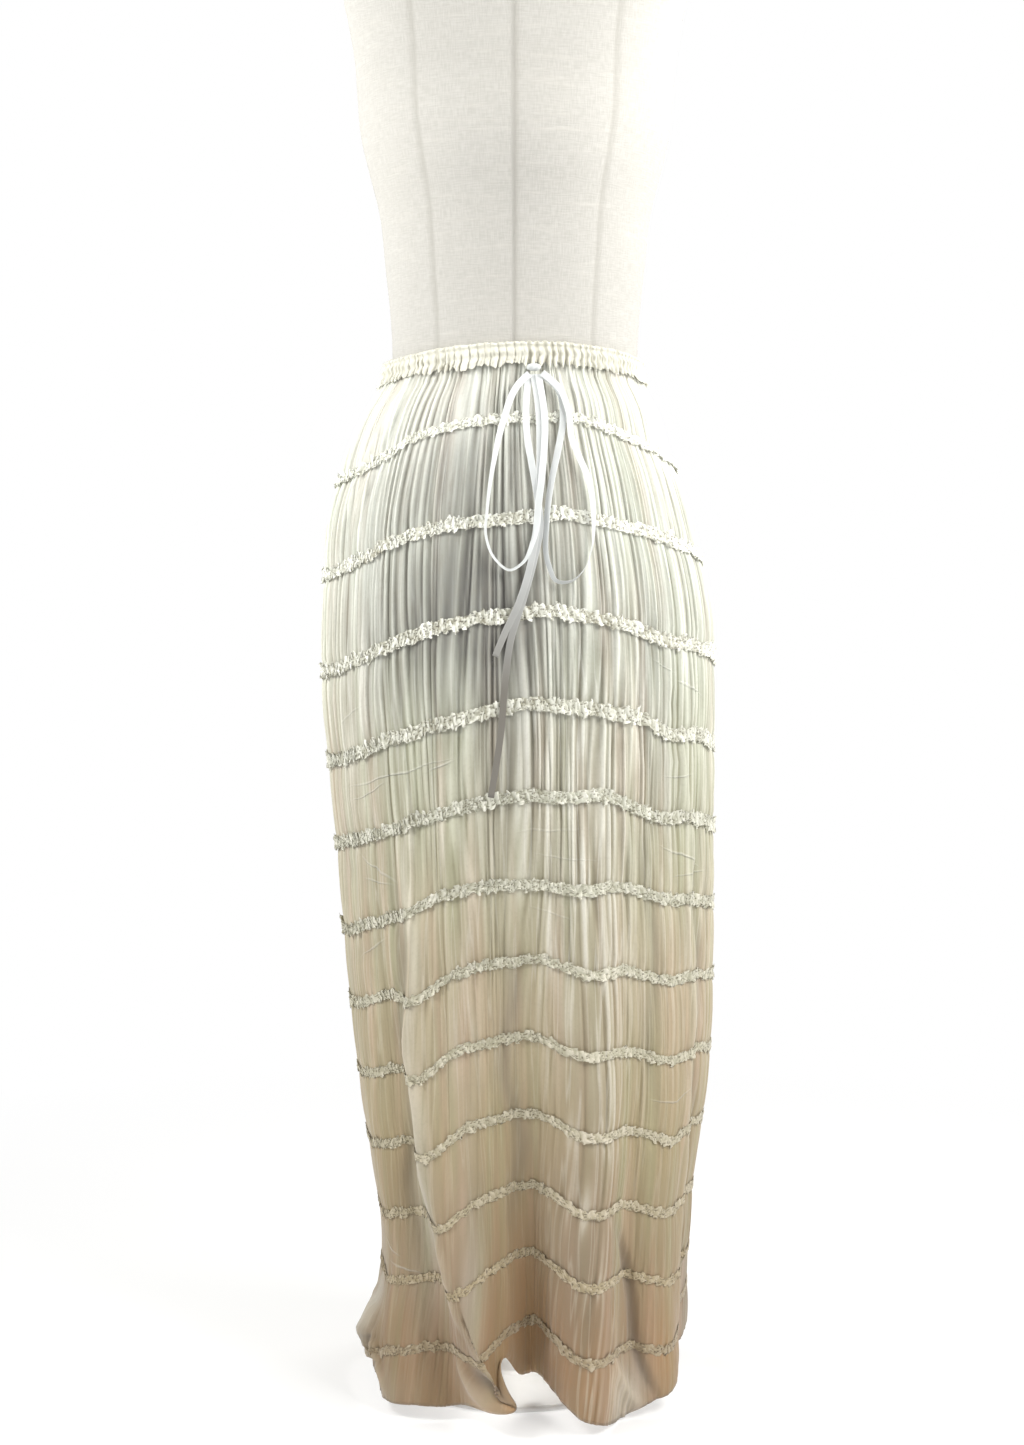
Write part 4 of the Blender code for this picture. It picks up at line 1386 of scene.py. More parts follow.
@dataclass(frozen=True)
class LaceFinish(Finish):
    """Narrow cotton lace: corded edges, small eyelets and a lively uneven surface, with painted shade between
    its gathers, in its eyelets and towards the hem, and painted highlight on its folds.
    """

    name: str = "ivory_ruched_lace"
    toning: Toning = Toning()
    roughness: float = 0.86
    cotton: Colour = (0.88, 0.89, 0.78)
    fold_shade: Colour = (0.21, 0.18, 0.105)
    # painted highlight on the folds, at the hem and at the waist
    low_fold_highlight: Colour = (0.76, 0.67, 0.52)
    high_fold_highlight: Colour = (1.0, 1.0, 0.95)
    eyelet_shade: Colour = (0.26, 0.225, 0.135)
    eyelets: float = 340.0  # to the metre
    picots: float = 460.0
    cord_depth: float = 0.0005

    def draw(self, graph: Graph) -> None:
        """Draws the finish's nodes.

        Args:
            graph: the finish's tree.
        """
        fold = graph.mark("ridge").within(0.0, 1.0)
        # painted shade by height, darker towards the hem; the cotton's own colour takes over higher up
        base = self.toning.colour(graph, 0.1, 0.12)
        high = graph.height().within(0.12, 0.85)
        base = graph.mix(high * 0.54 + 0.1, base, self.cotton)
        values = {"Vector": graph.cloth_map(), "Scale": (1, 1.25, 1)}
        place = graph.socket("Mapping", 0, values=values)
        settings = {"feature": "F1", "distance": "EUCLIDEAN"}
        values = {"Vector": place, "Scale": self.eyelets}
        net = graph.socket("TexVoronoi", "Distance", settings, values).within(0.16, 0.46)
        # painted highlight where the mark gleam is set, with less painted shade there
        gleam = graph.mark("gleam")
        highest = graph.height().within(0.76, 0.96)
        depth = (high * 0.6 + 0.08) * (1 - highest * 0.55) * (1 - high * gleam * 0.6)
        patch = graph.streaks(24.0).within(0.36, 0.64)
        depth = depth * (1.35 - patch * 0.6)
        # painted shade between the gathers
        base = graph.mix((1 - fold) ** 1.3 * depth, base, self.fold_shade)
        # painted highlight on the folds
        fold_highlight = graph.mix(high, self.low_fold_highlight, self.high_fold_highlight)
        share = high * 0.56 + gleam * 0.36 + 0.16 + patch * 0.26
        base = graph.mix(fold * share.within(0.0, 1.0), base, fold_highlight)
        # painted shade in the eyelets
        base = graph.mix((1 - net) * (depth * 0.64 + 0.09), base, self.eyelet_shade)
        threads = graph.streaks(2400.0)
        torn = graph.streaks(self.picots)
        whole = (torn - graph.mark("edge") ** 3 * 0.52).within(0.02, 0.09)
        graph.shade(
            Base_Color=base,
            Roughness=self.roughness + (threads - 0.5) * 0.1,
            Alpha=(net * 0.62 + 0.34 + fold * 0.25).within(0.0, 1.0) * whole,
            Sheen_Weight=0.2,
            Specular_IOR_Level=0.3,
            Normal=graph.bump(net * 0.7 + threads * 0.3, self.cord_depth),
        )


@dataclass(frozen=True)
class SatinFinish(Finish):
    """White satin ribbon: fine lengthwise ribs, woven edges painted lighter as a highlight, a soft gloss,
    soft patches of painted shade, and painted shade below a height.
    """

    name: str = "white_satin_ribbon"
    colour: Colour = (0.63, 0.65, 0.645)
    # painted shade in soft patches, woven edges painted lighter as a highlight, and painted shade below a
    # height
    shade_patch: Colour = (0.5, 0.52, 0.52)
    edge: Colour = (0.93, 0.93, 0.92)
    lower_shade: Colour = (0.138, 0.12, 0.094)
    shade_from: float = 0.87  # the height where the ribbon leaves the light
    shade_to: float = 0.7
    rib_depth: float = 0.00006

    def draw(self, graph: Graph) -> None:
        """Draws the finish's nodes.

        Args:
            graph: the finish's tree.
        """
        ribs = graph.streaks(3200.0, 1.0, 0.05)
        shade_patch = graph.noise(60.0, 2.0).within(0.35, 0.75)
        low = graph.height().within(self.shade_from, self.shade_to)
        # painted shade in soft patches
        base = graph.mix(shade_patch * 0.3, self.colour, self.shade_patch)
        # the woven edges, painted lighter as a highlight
        base = graph.mix(graph.mark("edge") * 0.35, base, self.edge)
        # painted shade that darkens the ribbon below a height
        base = graph.mix(low * 0.88, base, self.lower_shade)
        graph.shade(
            Base_Color=base,
            Roughness=0.34 + ribs * 0.16,
            Specular_IOR_Level=0.2,
            Normal=graph.bump(ribs + graph.mark("edge"), self.rib_depth),
        )


@dataclass(frozen=True)
class LinenFinish(Finish):
    """Plain linen stretched over the form: a square weave with slubs, and seams a shade darker."""

    name: str = "form_linen"
    colour: Colour = (0.51, 0.497, 0.465)
    thread: Colour = (0.44, 0.427, 0.395)
    slub: Colour = (0.62, 0.6, 0.55)
    worn: Colour = (0.42, 0.4, 0.355)
    seam: Colour = (0.3, 0.285, 0.25)
    threads: float = 900.0  # to the metre
    weave_depth: float = 0.0004

    def draw(self, graph: Graph) -> None:
        """Draws the finish's nodes.

        Args:
            graph: the finish's tree.
        """
        warp = graph.streaks(self.threads, 1.0, 0.1)
        weft = graph.noise(self.threads, 1.0, (0.1, 1, 1), graph.cloth_map())
        weave = (warp + weft) * 0.5
        slub = graph.noise(150.0, 3.0, (0.12, 1, 1), graph.cloth_map()).within(0.55, 0.75)
        wear = graph.noise(5.0, 3.0).within(0.35, 0.8)
        base = graph.mix(weave.within(0.38, 0.62), self.thread, self.colour)
        base = graph.mix(slub * 0.3, base, self.slub)
        base = graph.mix(wear * 0.2, base, self.worn)
        base = graph.mix(graph.mark("seam") * 0.5, base, self.seam)
        graph.shade(
            Base_Color=base,
            Roughness=0.9 + (weave - 0.5) * 0.1,
            Sheen_Weight=0.15,
            Specular_IOR_Level=0.2,
            Normal=graph.bump(weave + slub * 0.3, self.weave_depth),
        )


@dataclass(frozen=True)
class EnamelFinish(Finish):
    """White satin enamel on metal: a faint ripple, and a little wear and dust."""

    name: str = "white_enamel"
    colour: Colour = (0.84, 0.84, 0.83)
    worn: Colour = (0.68, 0.66, 0.62)
    ripple_depth: float = 0.0003

    def draw(self, graph: Graph) -> None:
        """Draws the finish's nodes.

        Args:
            graph: the finish's tree.
        """
        dust = graph.noise(14.0, 5.0).within(0.5, 0.8)
        ripple = graph.noise(160.0, 2.0)
        scuff = graph.noise(90.0, 4.0, (1, 1, 0.15)).within(0.66, 0.8)
        graph.shade(
            Base_Color=graph.mix(dust * 0.3 + scuff * 0.35, self.colour, self.worn),
            Roughness=0.3 + dust * 0.25 + scuff * 0.2,
            Specular_IOR_Level=0.5,
            Normal=graph.bump(ripple, self.ripple_depth),
        )


# --- The skirt's pieces -------------------------------------------------------------------------
@dataclass(frozen=True)
class Panel:
    """A full-length panel of crinkle-pleated voile, from side seam to side seam."""

    name: str
    node: str
    start: float  # degrees
    end: float
    flat: Pair  # the cut before pleating, in metres
    columns: int = 880
    lines_high: int = 6  # between two rows of lace
    lines_low: int = 14  # the same in the last tiers
    low_from: int = 10
    seam_gap: float = 0.00015
    seam_allowance: float = 0.005
    tuck_up: float = 0.006  # into the waistband
    tuck_in: float = 0.0006
    hem_rows: float = 0.1  # how much of the last tier turns under
    hem_edge_rows: float = 0.02  # past the edge of the turned hem
    hem_depth: float = 0.0009
    # the crease depth at which the painted shade in troughs and the painted highlight on crests are full
    full_crease: float = 0.006  # the depth that tints most

    def grid(self) -> tuple[Array, Array]:
        """The panel's angles and rows, as two arrays of one shape.

        Formula: even steps from seam to seam and down the tiers, closer in the last tiers, with
        the first and last column drawn in by half the seam's gap.

        Returns:
            The angles in radians, and the rows.
        """
        angles = np.radians(np.linspace(self.start, self.end, self.columns))
        high = np.arange(0, self.low_from * self.lines_high) / self.lines_high
        low = np.linspace(self.low_from, HEM, (HEM - self.low_from) * self.lines_low + 1)
        angle, row = np.meshgrid(angles, np.concatenate([high, low]))
        ends = [0, -1]
        half_gap = self.seam_gap / np.linalg.norm(CLOTH.tangent(angle[:, ends], row[:, ends]), axis=-1)
        angle[:, ends] += half_gap * [1, -1]
        return angle, row

    def build(self, material: Material, form: "DressForm") -> Piece:
        """Builds the panel.

        Formula: the cloth's surface over the grid, with a row that goes up into the waistband,
        rows that turn the hem under, and a column at each side for the seam's allowance.

        Args:
            material: the voile.
            form: what it hangs over, whose shade shows through.

        Returns:
            The panel.
        """
        angle, row = self.grid()
        points, ridge = CLOTH.surface(angle, row)
        inward = -CLOTH.outward(angle, row)
        top = points[:1] + inward[:1] * self.tuck_in + [0, 0, self.tuck_up]
        turned = np.linspace(HEM - self.hem_edge_rows, HEM - self.hem_rows, 3)
        hem_angle, hem_row = np.meshgrid(angle[-1], turned)
        under, under_ridge = CLOTH.surface(hem_angle, hem_row)
        under = under - CLOTH.outward(hem_angle, hem_row) * self.hem_depth
        points = np.concatenate([top, points, under])
        inward = np.concatenate([inward[:1], inward, -CLOTH.outward(hem_angle, hem_row)])
        ridge = np.concatenate([ridge[:1], ridge, under_ridge])
        row = np.concatenate([row[:1], row, hem_row])
        angle = np.concatenate([angle[:1], angle, hem_angle])
        sides = [points[:, [i]] + inward[:, [i]] * self.seam_allowance for i in (0, -1)]
        points = np.concatenate([sides[0], points, sides[1]], axis=1)
        angle, row, ridge = (np.pad(a, ((0, 0), (1, 1)), mode="edge") for a in (angle, row, ridge))
        flat = np.stack(CLOTH.laid_flat(angle, row), axis=-1)
        fold_line = HEM - self.hem_rows
        doubled = step_up(row, fold_line - self.hem_edge_rows, fold_line + self.hem_edge_rows)
        marks = {"ridge": ridge, "doubled": doubled, "close": form.closeness(points)}
        # marks for the painted highlight, the painted warm shade and the painted shade
        marks |= {tone.value: CLOTH.bloom(tone, angle, row) for tone in (Tone.PAINTED_HIGHLIGHT, Tone.PAINTED_WARM_SHADE, Tone.SHADE)}
        marks["crisp"] = np.clip(CLOTH.calm(angle, row) - 1, 0, 1)
        # marks for the painted shade in the creases' troughs and the painted highlight on their crests
        crease = CLOTH.crease(angle, row) / self.full_crease
        marks |= {"trough": np.clip(-crease, 0, 1), "crest": np.clip(crease, 0, 1)}
        panel = add_surface(self.name, points, material, cloth_map=flat, marks=marks)
        return finish_piece(panel, "ivory_cloth", self.node)


class LaceStrip(NamedTuple):
    """A row's strip of lace: its gathered height, and its cut before it was drawn up, in metres."""

    height: float
    length: float
    width: float


LACE_STRIPS = listed(
    LaceStrip,
    (0.0121, 1.25, 0.013), (0.0142, 1.4, 0.015), (0.0152, 1.5, 0.015), (0.0156, 1.5, 0.015),
    (0.0142, 1.35, 0.015), (0.013, 1.3, 0.014), (0.0119, 1.25, 0.013), (0.0112, 1.25, 0.013),
    (0.0108, 1.2, 0.013), (0.0103, 1.2, 0.013), (0.0101, 1.2, 0.013), (0.0103, 1.25, 0.013),
)


@dataclass(frozen=True)
class LaceRow:
    """A narrow lace, drawn up into small gathers and sewn along its middle round the skirt."""

    number: int
    strip: LaceStrip
    columns: int = 1800
    lines: int = 10  # points across the strip
    gathers: int = 165
    lift: float = 0.0006  # off the ridges of the pleats
    bulge: float = 0.0008  # of the middle, between the free edges
    depth: float = 0.0036  # of the gathers
    overhang: float = 0.0014  # how far a gather leans over its neighbour
    flutter: float = 0.0031  # how far the free edges wander
    waver: float = 0.0011  # how far the whole strip goes up and down
    fold_widths: Pair = (0.16, 0.36)  # in gathers
    small_widths: Pair = (0.2, 0.42)  # of the three small folds on each
    fold_share: float = 0.62  # of the depth, and the small folds have the rest
    full_rows: tuple[float, ...] = (1, 6, 9, 12)
    fullness: tuple[float, ...] = (1.0, 0.9, 0.46, 0.24)  # the lower rows lie flatter

    def build(self, material: Material) -> Piece:
        """Builds the row.

        Formula: a strip that follows its row over the ridges. Uneven folds, with smaller ones on
        them, lean to and fro and stand out further at the free edges, which soft noise makes
        ragged. Some stretches are fuller than others.

        Args:
            material: the lace.

        Returns:
            The row of lace.
        """
        angle, side = np.meshgrid(ring_angles(self.columns), np.linspace(1, -1, self.lines))
        row = np.full_like(angle, float(self.number))
        seed = 100 + 7 * self.number
        crowd = 0.42 * waves(angle, seed, (9, 40), 8) + 0.13 * waves(angle, seed + 1, (50, 90), 8)
        phase = self.gathers * angle / TWO_PI + crowd
        clump = value_noise(phase / 5, side * 0.2 + 5, seed + 2, self.gathers // 5)
        lean = value_noise(phase / 3, side * 0 + 3, seed + 3, self.gathers // 3) - 0.35
        lean = 1.2 * side * lean
        folds = ridges_at(phase + lean, side * 0.8 + 4, seed + 4, self.gathers, self.fold_widths)
        small_phase = 3 * phase + 1.5 * side * clump
        small = ridges_at(small_phase, side * 2 + 8, seed + 5, 3 * self.gathers, self.small_widths)
        fine = value_noise(6 * phase, side * 2.6 + 20, seed + 6, 6 * self.gathers) - 0.5
        ragged = value_noise(2 * phase, side * 0.6 + 31, seed + 7, 2 * self.gathers) - 0.5
        size = 0.5 + 0.8 * clump
        reach = np.abs(side) ** 1.2
        high = size * (self.fold_share * folds + (1 - self.fold_share) * small)
        full = float(np.interp(self.number, self.full_rows, self.fullness))
        push = self.bulge * (1 - side**2) + full * self.depth * high * (0.55 + 0.65 * reach)
        push += full * self.flutter * (0.5 * fine + reach * (0.8 * ragged + 0.25))
        up = 0.5 * self.strip.height * side * (0.86 + 0.32 * size * folds)
        up += self.flutter * (1.7 * ragged * reach + 0.5 * fine)
        up += self.waver * waves(angle, seed + 8, (8, 34), 8)
        along_by = self.overhang * (2 * small - 0.8 + 2 * fine) * (0.4 + 0.6 * reach)
        base = CLOTH.middle(angle, row)
        down = unit(CLOTH.middle(angle, row + 0.05) - CLOTH.middle(angle, row - 0.05))
        outward = CLOTH.outward(angle, row)
        along = unit(CLOTH.tangent(angle, row))
        ridges = CLOTH.pleat_rise * 0.7 * CLOTH.pleats_left(angle, row) - CLOTH.pinch
        ridges += CLOTH.crease(angle, row) + self.lift
        points = base + outward * (ridges + push)[..., None] - down * up[..., None]
        points = points + along * along_by[..., None]
        place = np.stack([phase * self.strip.length / self.gathers, side * self.strip.width / 2], axis=-1)
        light = np.clip(0.6 * folds + 0.55 * small + 0.9 * fine - 0.02, 0, 1)
        marks = {"ridge": light, "edge": np.abs(side), "gleam": CLOTH.bloom(Tone.GLEAM, angle, row)}
        lace = add_surface(f"ruched_lace_{self.number:02d}", points, material, (False, True), place, marks)
        return finish_piece(lace, "ivory_lace", f"lace_{self.number:02d}")


class BandLine(NamedTuple):
    """A level line of the waistband: height from its top, stand-off, gather depth and scallop."""

    name: str
    below_top: float
    stand_off: float
    gather: float
    scallop: float


@dataclass(frozen=True)
class Waistband:
    """The gathered elastic casing, with a short frill above and a fuller one below."""

    flat: Pair
    height: float = 0.019
    seam: float = 0.0005
    columns: int = 1680
    lines_each: int = 4
    gathers: int = 112
    form_clearance: float = 0.0009
    inside: tuple[float, ...] = (0.017, 0.01, 0.0012)  # the inner wall's lines, below the top
    map_width: float = 0.15  # of the band's own map for each radian
    map_height: float = 0.003  # the same for each line
    lines: tuple[BandLine, ...] = (
        BandLine("lip", 0.0000, 0.0006, 0.0003, 0.0007),
        BandLine("header", 0.0022, 0.002, 0.0008, 0.0005),
        BandLine("top_stitch", 0.0052, 0.0009, 0.0003, 0.0000),
        BandLine("casing", 0.0098, 0.0028, 0.0015, 0.0000),
        BandLine("low_stitch", 0.0142, 0.002, 0.0011, 0.0000),
        BandLine("frill", 0.0178, 0.0034, 0.0022, 0.0008),
        BandLine("frill_edge", 0.0216, 0.0042, 0.0024, 0.0024),
    )

    def build(self, material: Material, form: "DressForm") -> Piece:
        """Builds the band.

        Formula: a smooth profile through the band's lines, each ruffled round the waist by an
        uneven sine of its own depth, with the inside running down the form's skin.

        Args:
            material: the voile.
            form: what the band grips.

        Returns:
            The band.
        """
        angles = ring_angles(self.columns)
        count = (len(self.lines) - 1) * self.lines_each + 1
        angle, line = np.meshgrid(angles, np.linspace(0, len(self.lines) - 1, count))
        numbers = np.arange(len(self.lines))
        below, off, gather, scallop = (smooth(line, numbers, [b[i] for b in self.lines]) for i in range(1, 5))
        ruffle, fine, own = self.ruffles(angle, line)
        edge = CLOTH.middle(angle, 0.0)
        points = edge + CLOTH.outward(angle, 0.0) * (off + gather * (ruffle + fine))[..., None]
        top = edge[..., 2] + self.seam + self.height
        points[..., 2] = top - below - scallop * (ruffle + 1.6 * (own - 0.5) + 0.8 * fine)
        inside = np.stack([form.skin(angles, top[0] - drop, self.form_clearance) for drop in self.inside])
        points = np.concatenate([inside, points])
        inner_lines = np.arange(-len(inside), 0.0)[:, None]
        line = np.concatenate([np.broadcast_to(inner_lines, inside.shape[:2]), line])
        light = np.clip(0.38 + 0.3 * ruffle + 0.3 * fine, 0, 1)
        ridge = np.concatenate([np.full(inside.shape[:2], 0.5), light])
        across = np.broadcast_to(angles * self.map_width, line.shape)
        place = np.stack([across, line * self.map_height], axis=-1)
        marks = {"ridge": ridge, "doubled": np.ones_like(ridge)}
        band = add_surface("gathered_waistband", points, material, (False, True), place, marks)
        return finish_piece(band, "ivory_cloth", "waistband")

    def ruffles(self, angle: Array, line: Array) -> tuple[Array, Array, Array]:
        """The band's ruffles.

        Formula: the root of a sine, its turns crowded and skewed by noise, each as strong as its
        own random number, and finer noise.

        Args:
            angle: in radians.
            line: the number of the level line.

        Returns:
            The ruffle, the finer noise, and each ruffle's own number from 0 to 1.
        """
        phase = self.gathers * angle / TWO_PI
        phase = phase + 0.26 * waves(angle, 61, (6, 30), 8) + 0.07 * waves(angle, 62, (30, 60), 6)
        phase += 0.1 * np.sin(line * 1.3)
        own = value_noise(phase, line * 0.35 + 3, 63, self.gathers)
        leaning = value_noise(phase / 3, 0 * line + 2, 65, self.gathers // 3)
        skew = phase + 0.16 * np.sin(TWO_PI * phase + 5 * leaning)
        sharp = np.abs(np.sin(math.pi * skew)) ** 0.5
        ruffle = (0.35 + 1.1 * own) * (2.2 * sharp - 1.3)
        fine = (value_noise(4.0 * phase, line * 1.1 + 7, 64, 4 * self.gathers) - 0.5) * 1.1
        return ruffle, fine, own


class FarEnd(Enum):
    """Where a length of ribbon goes at its far end."""

    BACK = "object"
    CUT = "bare"


@dataclass(frozen=True)
class Ribbon:
    """A length of the drawstring that hangs from its knot."""

    name: str
    node: str
    far_end: FarEnd
    ways: tuple[Way, ...]
    width: float = 0.0065
    thickness: float = 0.0005
    steps: int = 120
    corners: int = 12
    cup: float = 0.0003  # how far the edges curl towards the face
    selvedge: Pair = (0.0027, 0.0031)  # where the woven edge begins, from the middle

    def route(self) -> tuple[Array, Array, Array]:
        """The ribbon's route, a smooth curve through its ways, in even steps.

        Returns:
            The points, the level direction that each faces, and the twist in radians.
        """
        ways = np.array(self.ways)
        reach = np.concatenate([[0], np.cumsum(np.hypot(*np.diff(ways[:, :2], axis=0).T))])
        at = np.linspace(0, reach[-1], self.steps)
        across, height, stand_off, twist = (smooth(at, reach, column) for column in ways.T)
        angle, row = CLOTH.place_on_front(across, height)
        facing = CLOTH.outward(angle, row)
        return CLOTH.middle(angle, row) + facing * stand_off[:, None], facing, np.radians(twist)

    def build(self, material: Material) -> Piece:
        """Builds the ribbon.

        Formula: a thin rounded section carried along the route. Its width lies across the route
        and turns towards the front by the twist, and its edges curl a little.

        Args:
            material: the satin.

        Returns:
            The ribbon.
        """
        route, facing, twist = self.route()
        forward = unit(np.gradient(route, axis=0))
        side = unit(np.cross(forward, facing))
        front = np.cross(side, forward)
        wide = side * np.cos(twist)[:, None] + front * np.sin(twist)[:, None]
        thin = np.cross(wide, forward)
        turn = ring_angles(self.corners)
        x = squared(np.cos(turn), 0.6) * self.width / 2
        y = np.sin(turn) * self.thickness / 2
        curl = self.cup * (2 * x / self.width) ** 2
        section = wide[:, None] * x[None, :, None] + thin[:, None] * (y + curl)[None, :, None]
        rings = route[:, None] + section
        ends = [np.broadcast_to(point, section[:1].shape) for point in (route[0], route[-1])]
        rings = np.concatenate([ends[0], rings, ends[1]])
        length = np.concatenate([[0], np.cumsum(np.linalg.norm(np.diff(route, axis=0), axis=1))])
        along = np.pad(length, 1, mode="edge")[:, None] + 0 * x[None, :]
        place = np.stack([np.broadcast_to(x, along.shape), along], axis=-1)
        edge = np.broadcast_to(step_up(np.abs(x), *self.selvedge), along.shape)
        ribbon = add_surface(self.name, rings, material, (False, True), place, {"edge": edge})
        close_poles(ribbon)
        return finish_piece(ribbon, "white_satin", self.node)


def close_poles(obj: Piece) -> None:
    """Merges the points of a ring that was drawn down to one place, and turns the faces outwards.

    Args:
        obj: the piece.
    """
    shape = bmesh.new()
    shape.from_mesh(obj.data)
    bmesh.ops.remove_doubles(shape, verts=shape.verts, dist=1e-7)
    bmesh.ops.recalc_face_normals(shape, faces=shape.faces)
    shape.to_mesh(obj.data)
    shape.free()


@dataclass(frozen=True)
class Knot:
    """The bow's knot: the ribbon drawn tight over itself."""

    radii: Place = (0.0068, 0.0044, 0.0036)
    creases: int = 3
    crease_depth: float = 0.13  # as a share of the radius
    lines: int = 41
    columns: int = 72

    def build(self, material: Material) -> Piece:
        """Builds the knot.

        Formula: a squared ball, whose radius dips along three slanting creases where the ribbon
        passes over itself.

        Args:
            material: the satin.

        Returns:
            The knot.
        """
        low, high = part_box("ribbon_knot")
        polar = np.linspace(0, math.pi, self.lines)
        polar, turn = np.meshgrid(polar, ring_angles(self.columns), indexing="ij")
        crease = sum(bell(np.sin(turn - 0.9 + k * 1.15 + 0.8 * polar), 0.16) for k in range(self.creases))
        radius = 1 - self.crease_depth * crease * np.sin(polar) ** 2
        x = squared(np.sin(polar) * np.cos(turn), 0.85)
        y = np.sin(polar) * np.sin(turn)
        z = squared(np.cos(polar), 0.8)
        middle = np.array([(a + b) / 2 for a, b in zip(low, high)])
        points = middle + np.stack([x, y, z], axis=-1) * radius[..., None] * np.array(self.radii)
        place = np.stack([turn * 0.004, polar * 0.006], axis=-1)
        # the creases take a little of the ribbon's edge colour, a painted highlight, and its edge relief
        marks = {"edge": np.clip(crease, 0, 1) * 0.3}
        knot = add_surface("bow_knot", points, material, (False, True), place, marks)
        close_poles(knot)
        return finish_piece(knot, "white_satin", "ribbon_knot")


# --- The dress form and its stand ---------------------------------------------------------------
@dataclass(frozen=True)
class DressForm:
    """The limbless linen-covered form, on its plate, pole and round foot, with a cap on its neck."""

    columns: int = 240
    lines: int = 120
    seams: tuple[float, ...] = (0, 38, 90, 142, 180, 218, 270, 322)  # degrees
    seam_half_width: float = 1.1  # degrees
    seam_depth: float = 0.0006
    gap: float = 0.0003
    pole_radius: float = 0.0125
    base_radius: float = 0.115
    base_thickness: float = 0.006
    hub_radius: float = 0.024
    hub_height: float = 0.036
    flange_radius: float = 0.045
    flange_thickness: float = 0.008
    cap_radius: float = 0.054
    corner_cut: float = 0.0012  # how much of each corner of the stand is rounded
    closing: tuple[Pair, ...] = (  # share of the width, and how far in
        (0.0, 0.0), (0.9, 0.0), (0.965, 0.0006), (0.988, 0.0018), (0.998, 0.0035),
    )
    closed_by: float = 0.005  # how far in the torso has its full width
    cap_profile: tuple[Pair, ...] = (  # radius, and height above the neck
        (0, 0.04), (0.006, 0.0392), (0.0105, 0.035), (0.0118, 0.03), (0.01, 0.0245),
        (0.007, 0.021), (0.0068, 0.0165), (0.018, 0.0148), (0.036, 0.0118), (0.051, 0.008),
    )
    shade_reach: float = 0.06  # how far off it still darkens the cloth
    shade_end: Pair = (-0.006, 0.01)  # about the torso's end
    shade_top: Pair = (0.88, 0.98)  # between these heights half of it goes
    shade_middle: float = -0.045  # it is strongest left of the middle
    shade_half_width: float = 0.085
    shade_least: float = 0.45  # far from there

    def skin(self, angle: Array, height: Array, clearance: float = 0.0) -> Array:
        """Points on the form's skin.

        Formula: four quarter ellipses whose half widths follow the form's level sections.

        Args:
            angle: in radians.
            height: above the floor.
            clearance: how far outside the skin the points lie.

        Returns:
            The points.
        """
        heights = [s.height for s in FORM]
        half_width, front, back = (smooth(height, heights, [s[i] for s in FORM]) for i in range(1, 4))
        depth = np.where(np.cos(angle) > 0, front, back)
        x = (half_width + clearance) * np.sin(angle)
        y = -(depth + clearance) * np.cos(angle)
        return np.stack([x, y, np.broadcast_to(height, x.shape)], axis=-1)

    def closeness(self, points: Array) -> Array:
        """How close points are to the form, from 0 to 1, for the shade that shows through the cloth.

        Formula: a bell curve of the level distance to the skin, which ends with the torso and is
        weaker at the waist and away from its middle.

        Args:
            points: points outside the form.

        Returns:
            The closeness of each point.
        """
        angle = np.arctan2(points[..., 0], -points[..., 1])
        height = np.maximum(points[..., 2], FORM[0].height)
        skin = self.skin(angle, height)
        apart = np.hypot(points[..., 0], points[..., 1]) - np.hypot(skin[..., 0], skin[..., 1])
        above_end = step_up(points[..., 2], *(FORM[0].height + past for past in self.shade_end))
        shown = 1 - 0.5 * step_up(points[..., 2], *self.shade_top)
        beside = bell(points[..., 0] - self.shade_middle, self.shade_half_width)
        shown = shown * (self.shade_least + (1 - self.shade_least) * beside)
        return bell(np.maximum(apart, 0), self.shade_reach) * above_end * shown

    def build_torso(self, material: Material) -> Piece:
        """Builds the torso.

        Formula: level ellipses at close heights, drawn down to a point at both ends, with a narrow
        groove along each seam.

        Args:
            material: the linen.

        Returns:
            The torso.
        """
        low, high = FORM[0].height, FORM[-1].height
        edge, lift = np.array(self.closing).T
        share = np.concatenate([edge, np.ones(self.lines), edge[::-1]])
        body = np.linspace(low + self.closed_by, high - self.closed_by, self.lines)
        angle, height = np.meshgrid(
            ring_angles(self.columns), np.concatenate([low + lift, body, high - lift[::-1]])
        )
        width = math.radians(self.seam_half_width)
        seam = sum(bell(turn_from(angle, middle), width) for middle in np.radians(self.seams))
        points = self.skin(angle, height)
        least_radius = 0.02
        radius = np.maximum(np.hypot(points[..., 0], points[..., 1]), least_radius)
        points[..., :2] *= (share[:, None] * (1 - self.seam_depth * seam / radius))[..., None]
        place = np.stack([angle * 0.13, height], axis=-1)
        marks = {"seam": np.clip(seam, 0, 1)}
        torso = add_surface("linen_torso", points, material, (False, True), place, marks)
        close_poles(torso)
        return finish_piece(torso, "pale_linen", "form_body")

    def turned(
        self, name: str, node: str, profile: Sequence[Pair], material: Material
    ) -> Piece:
        """Builds a turned piece of the stand.

        Formula: a profile of radius and height, with each corner rounded by points a little way to
        both sides of it, swept round the pole's axis.

        Args:
            name: the piece's name.
            node: the solid that it replaces.
            profile: radius and height of each corner, from the axis round to the axis.
            material: the enamel.

        Returns:
            The piece.
        """
        corners = np.array(profile)
        rounded = [corners[:1]]
        for before, corner, after in zip(corners, corners[1:], corners[2:]):
            sides = [before - corner, after - corner]
            most = 0.35 * min(np.linalg.norm(side) for side in sides)
            cut = min(self.corner_cut, most)
            start, end = (corner + cut * unit(side) for side in sides)
            t = np.linspace(0, 1, 5)[:, None]
            rounded.append((1 - t) ** 2 * start + 2 * t * (1 - t) * corner + t**2 * end)
        rounded.append(corners[-1:])
        radius, height = np.concatenate(rounded).T
        turn = ring_angles(96)
        x, y = radius[:, None] * np.sin(turn), -radius[:, None] * np.cos(turn)
        points = np.stack(np.broadcast_arrays(x, y, height[:, None]), axis=-1)
        piece = add_surface(name, points, material, (False, True))
        close_poles(piece)
        return finish_piece(piece, "white_paint", node)

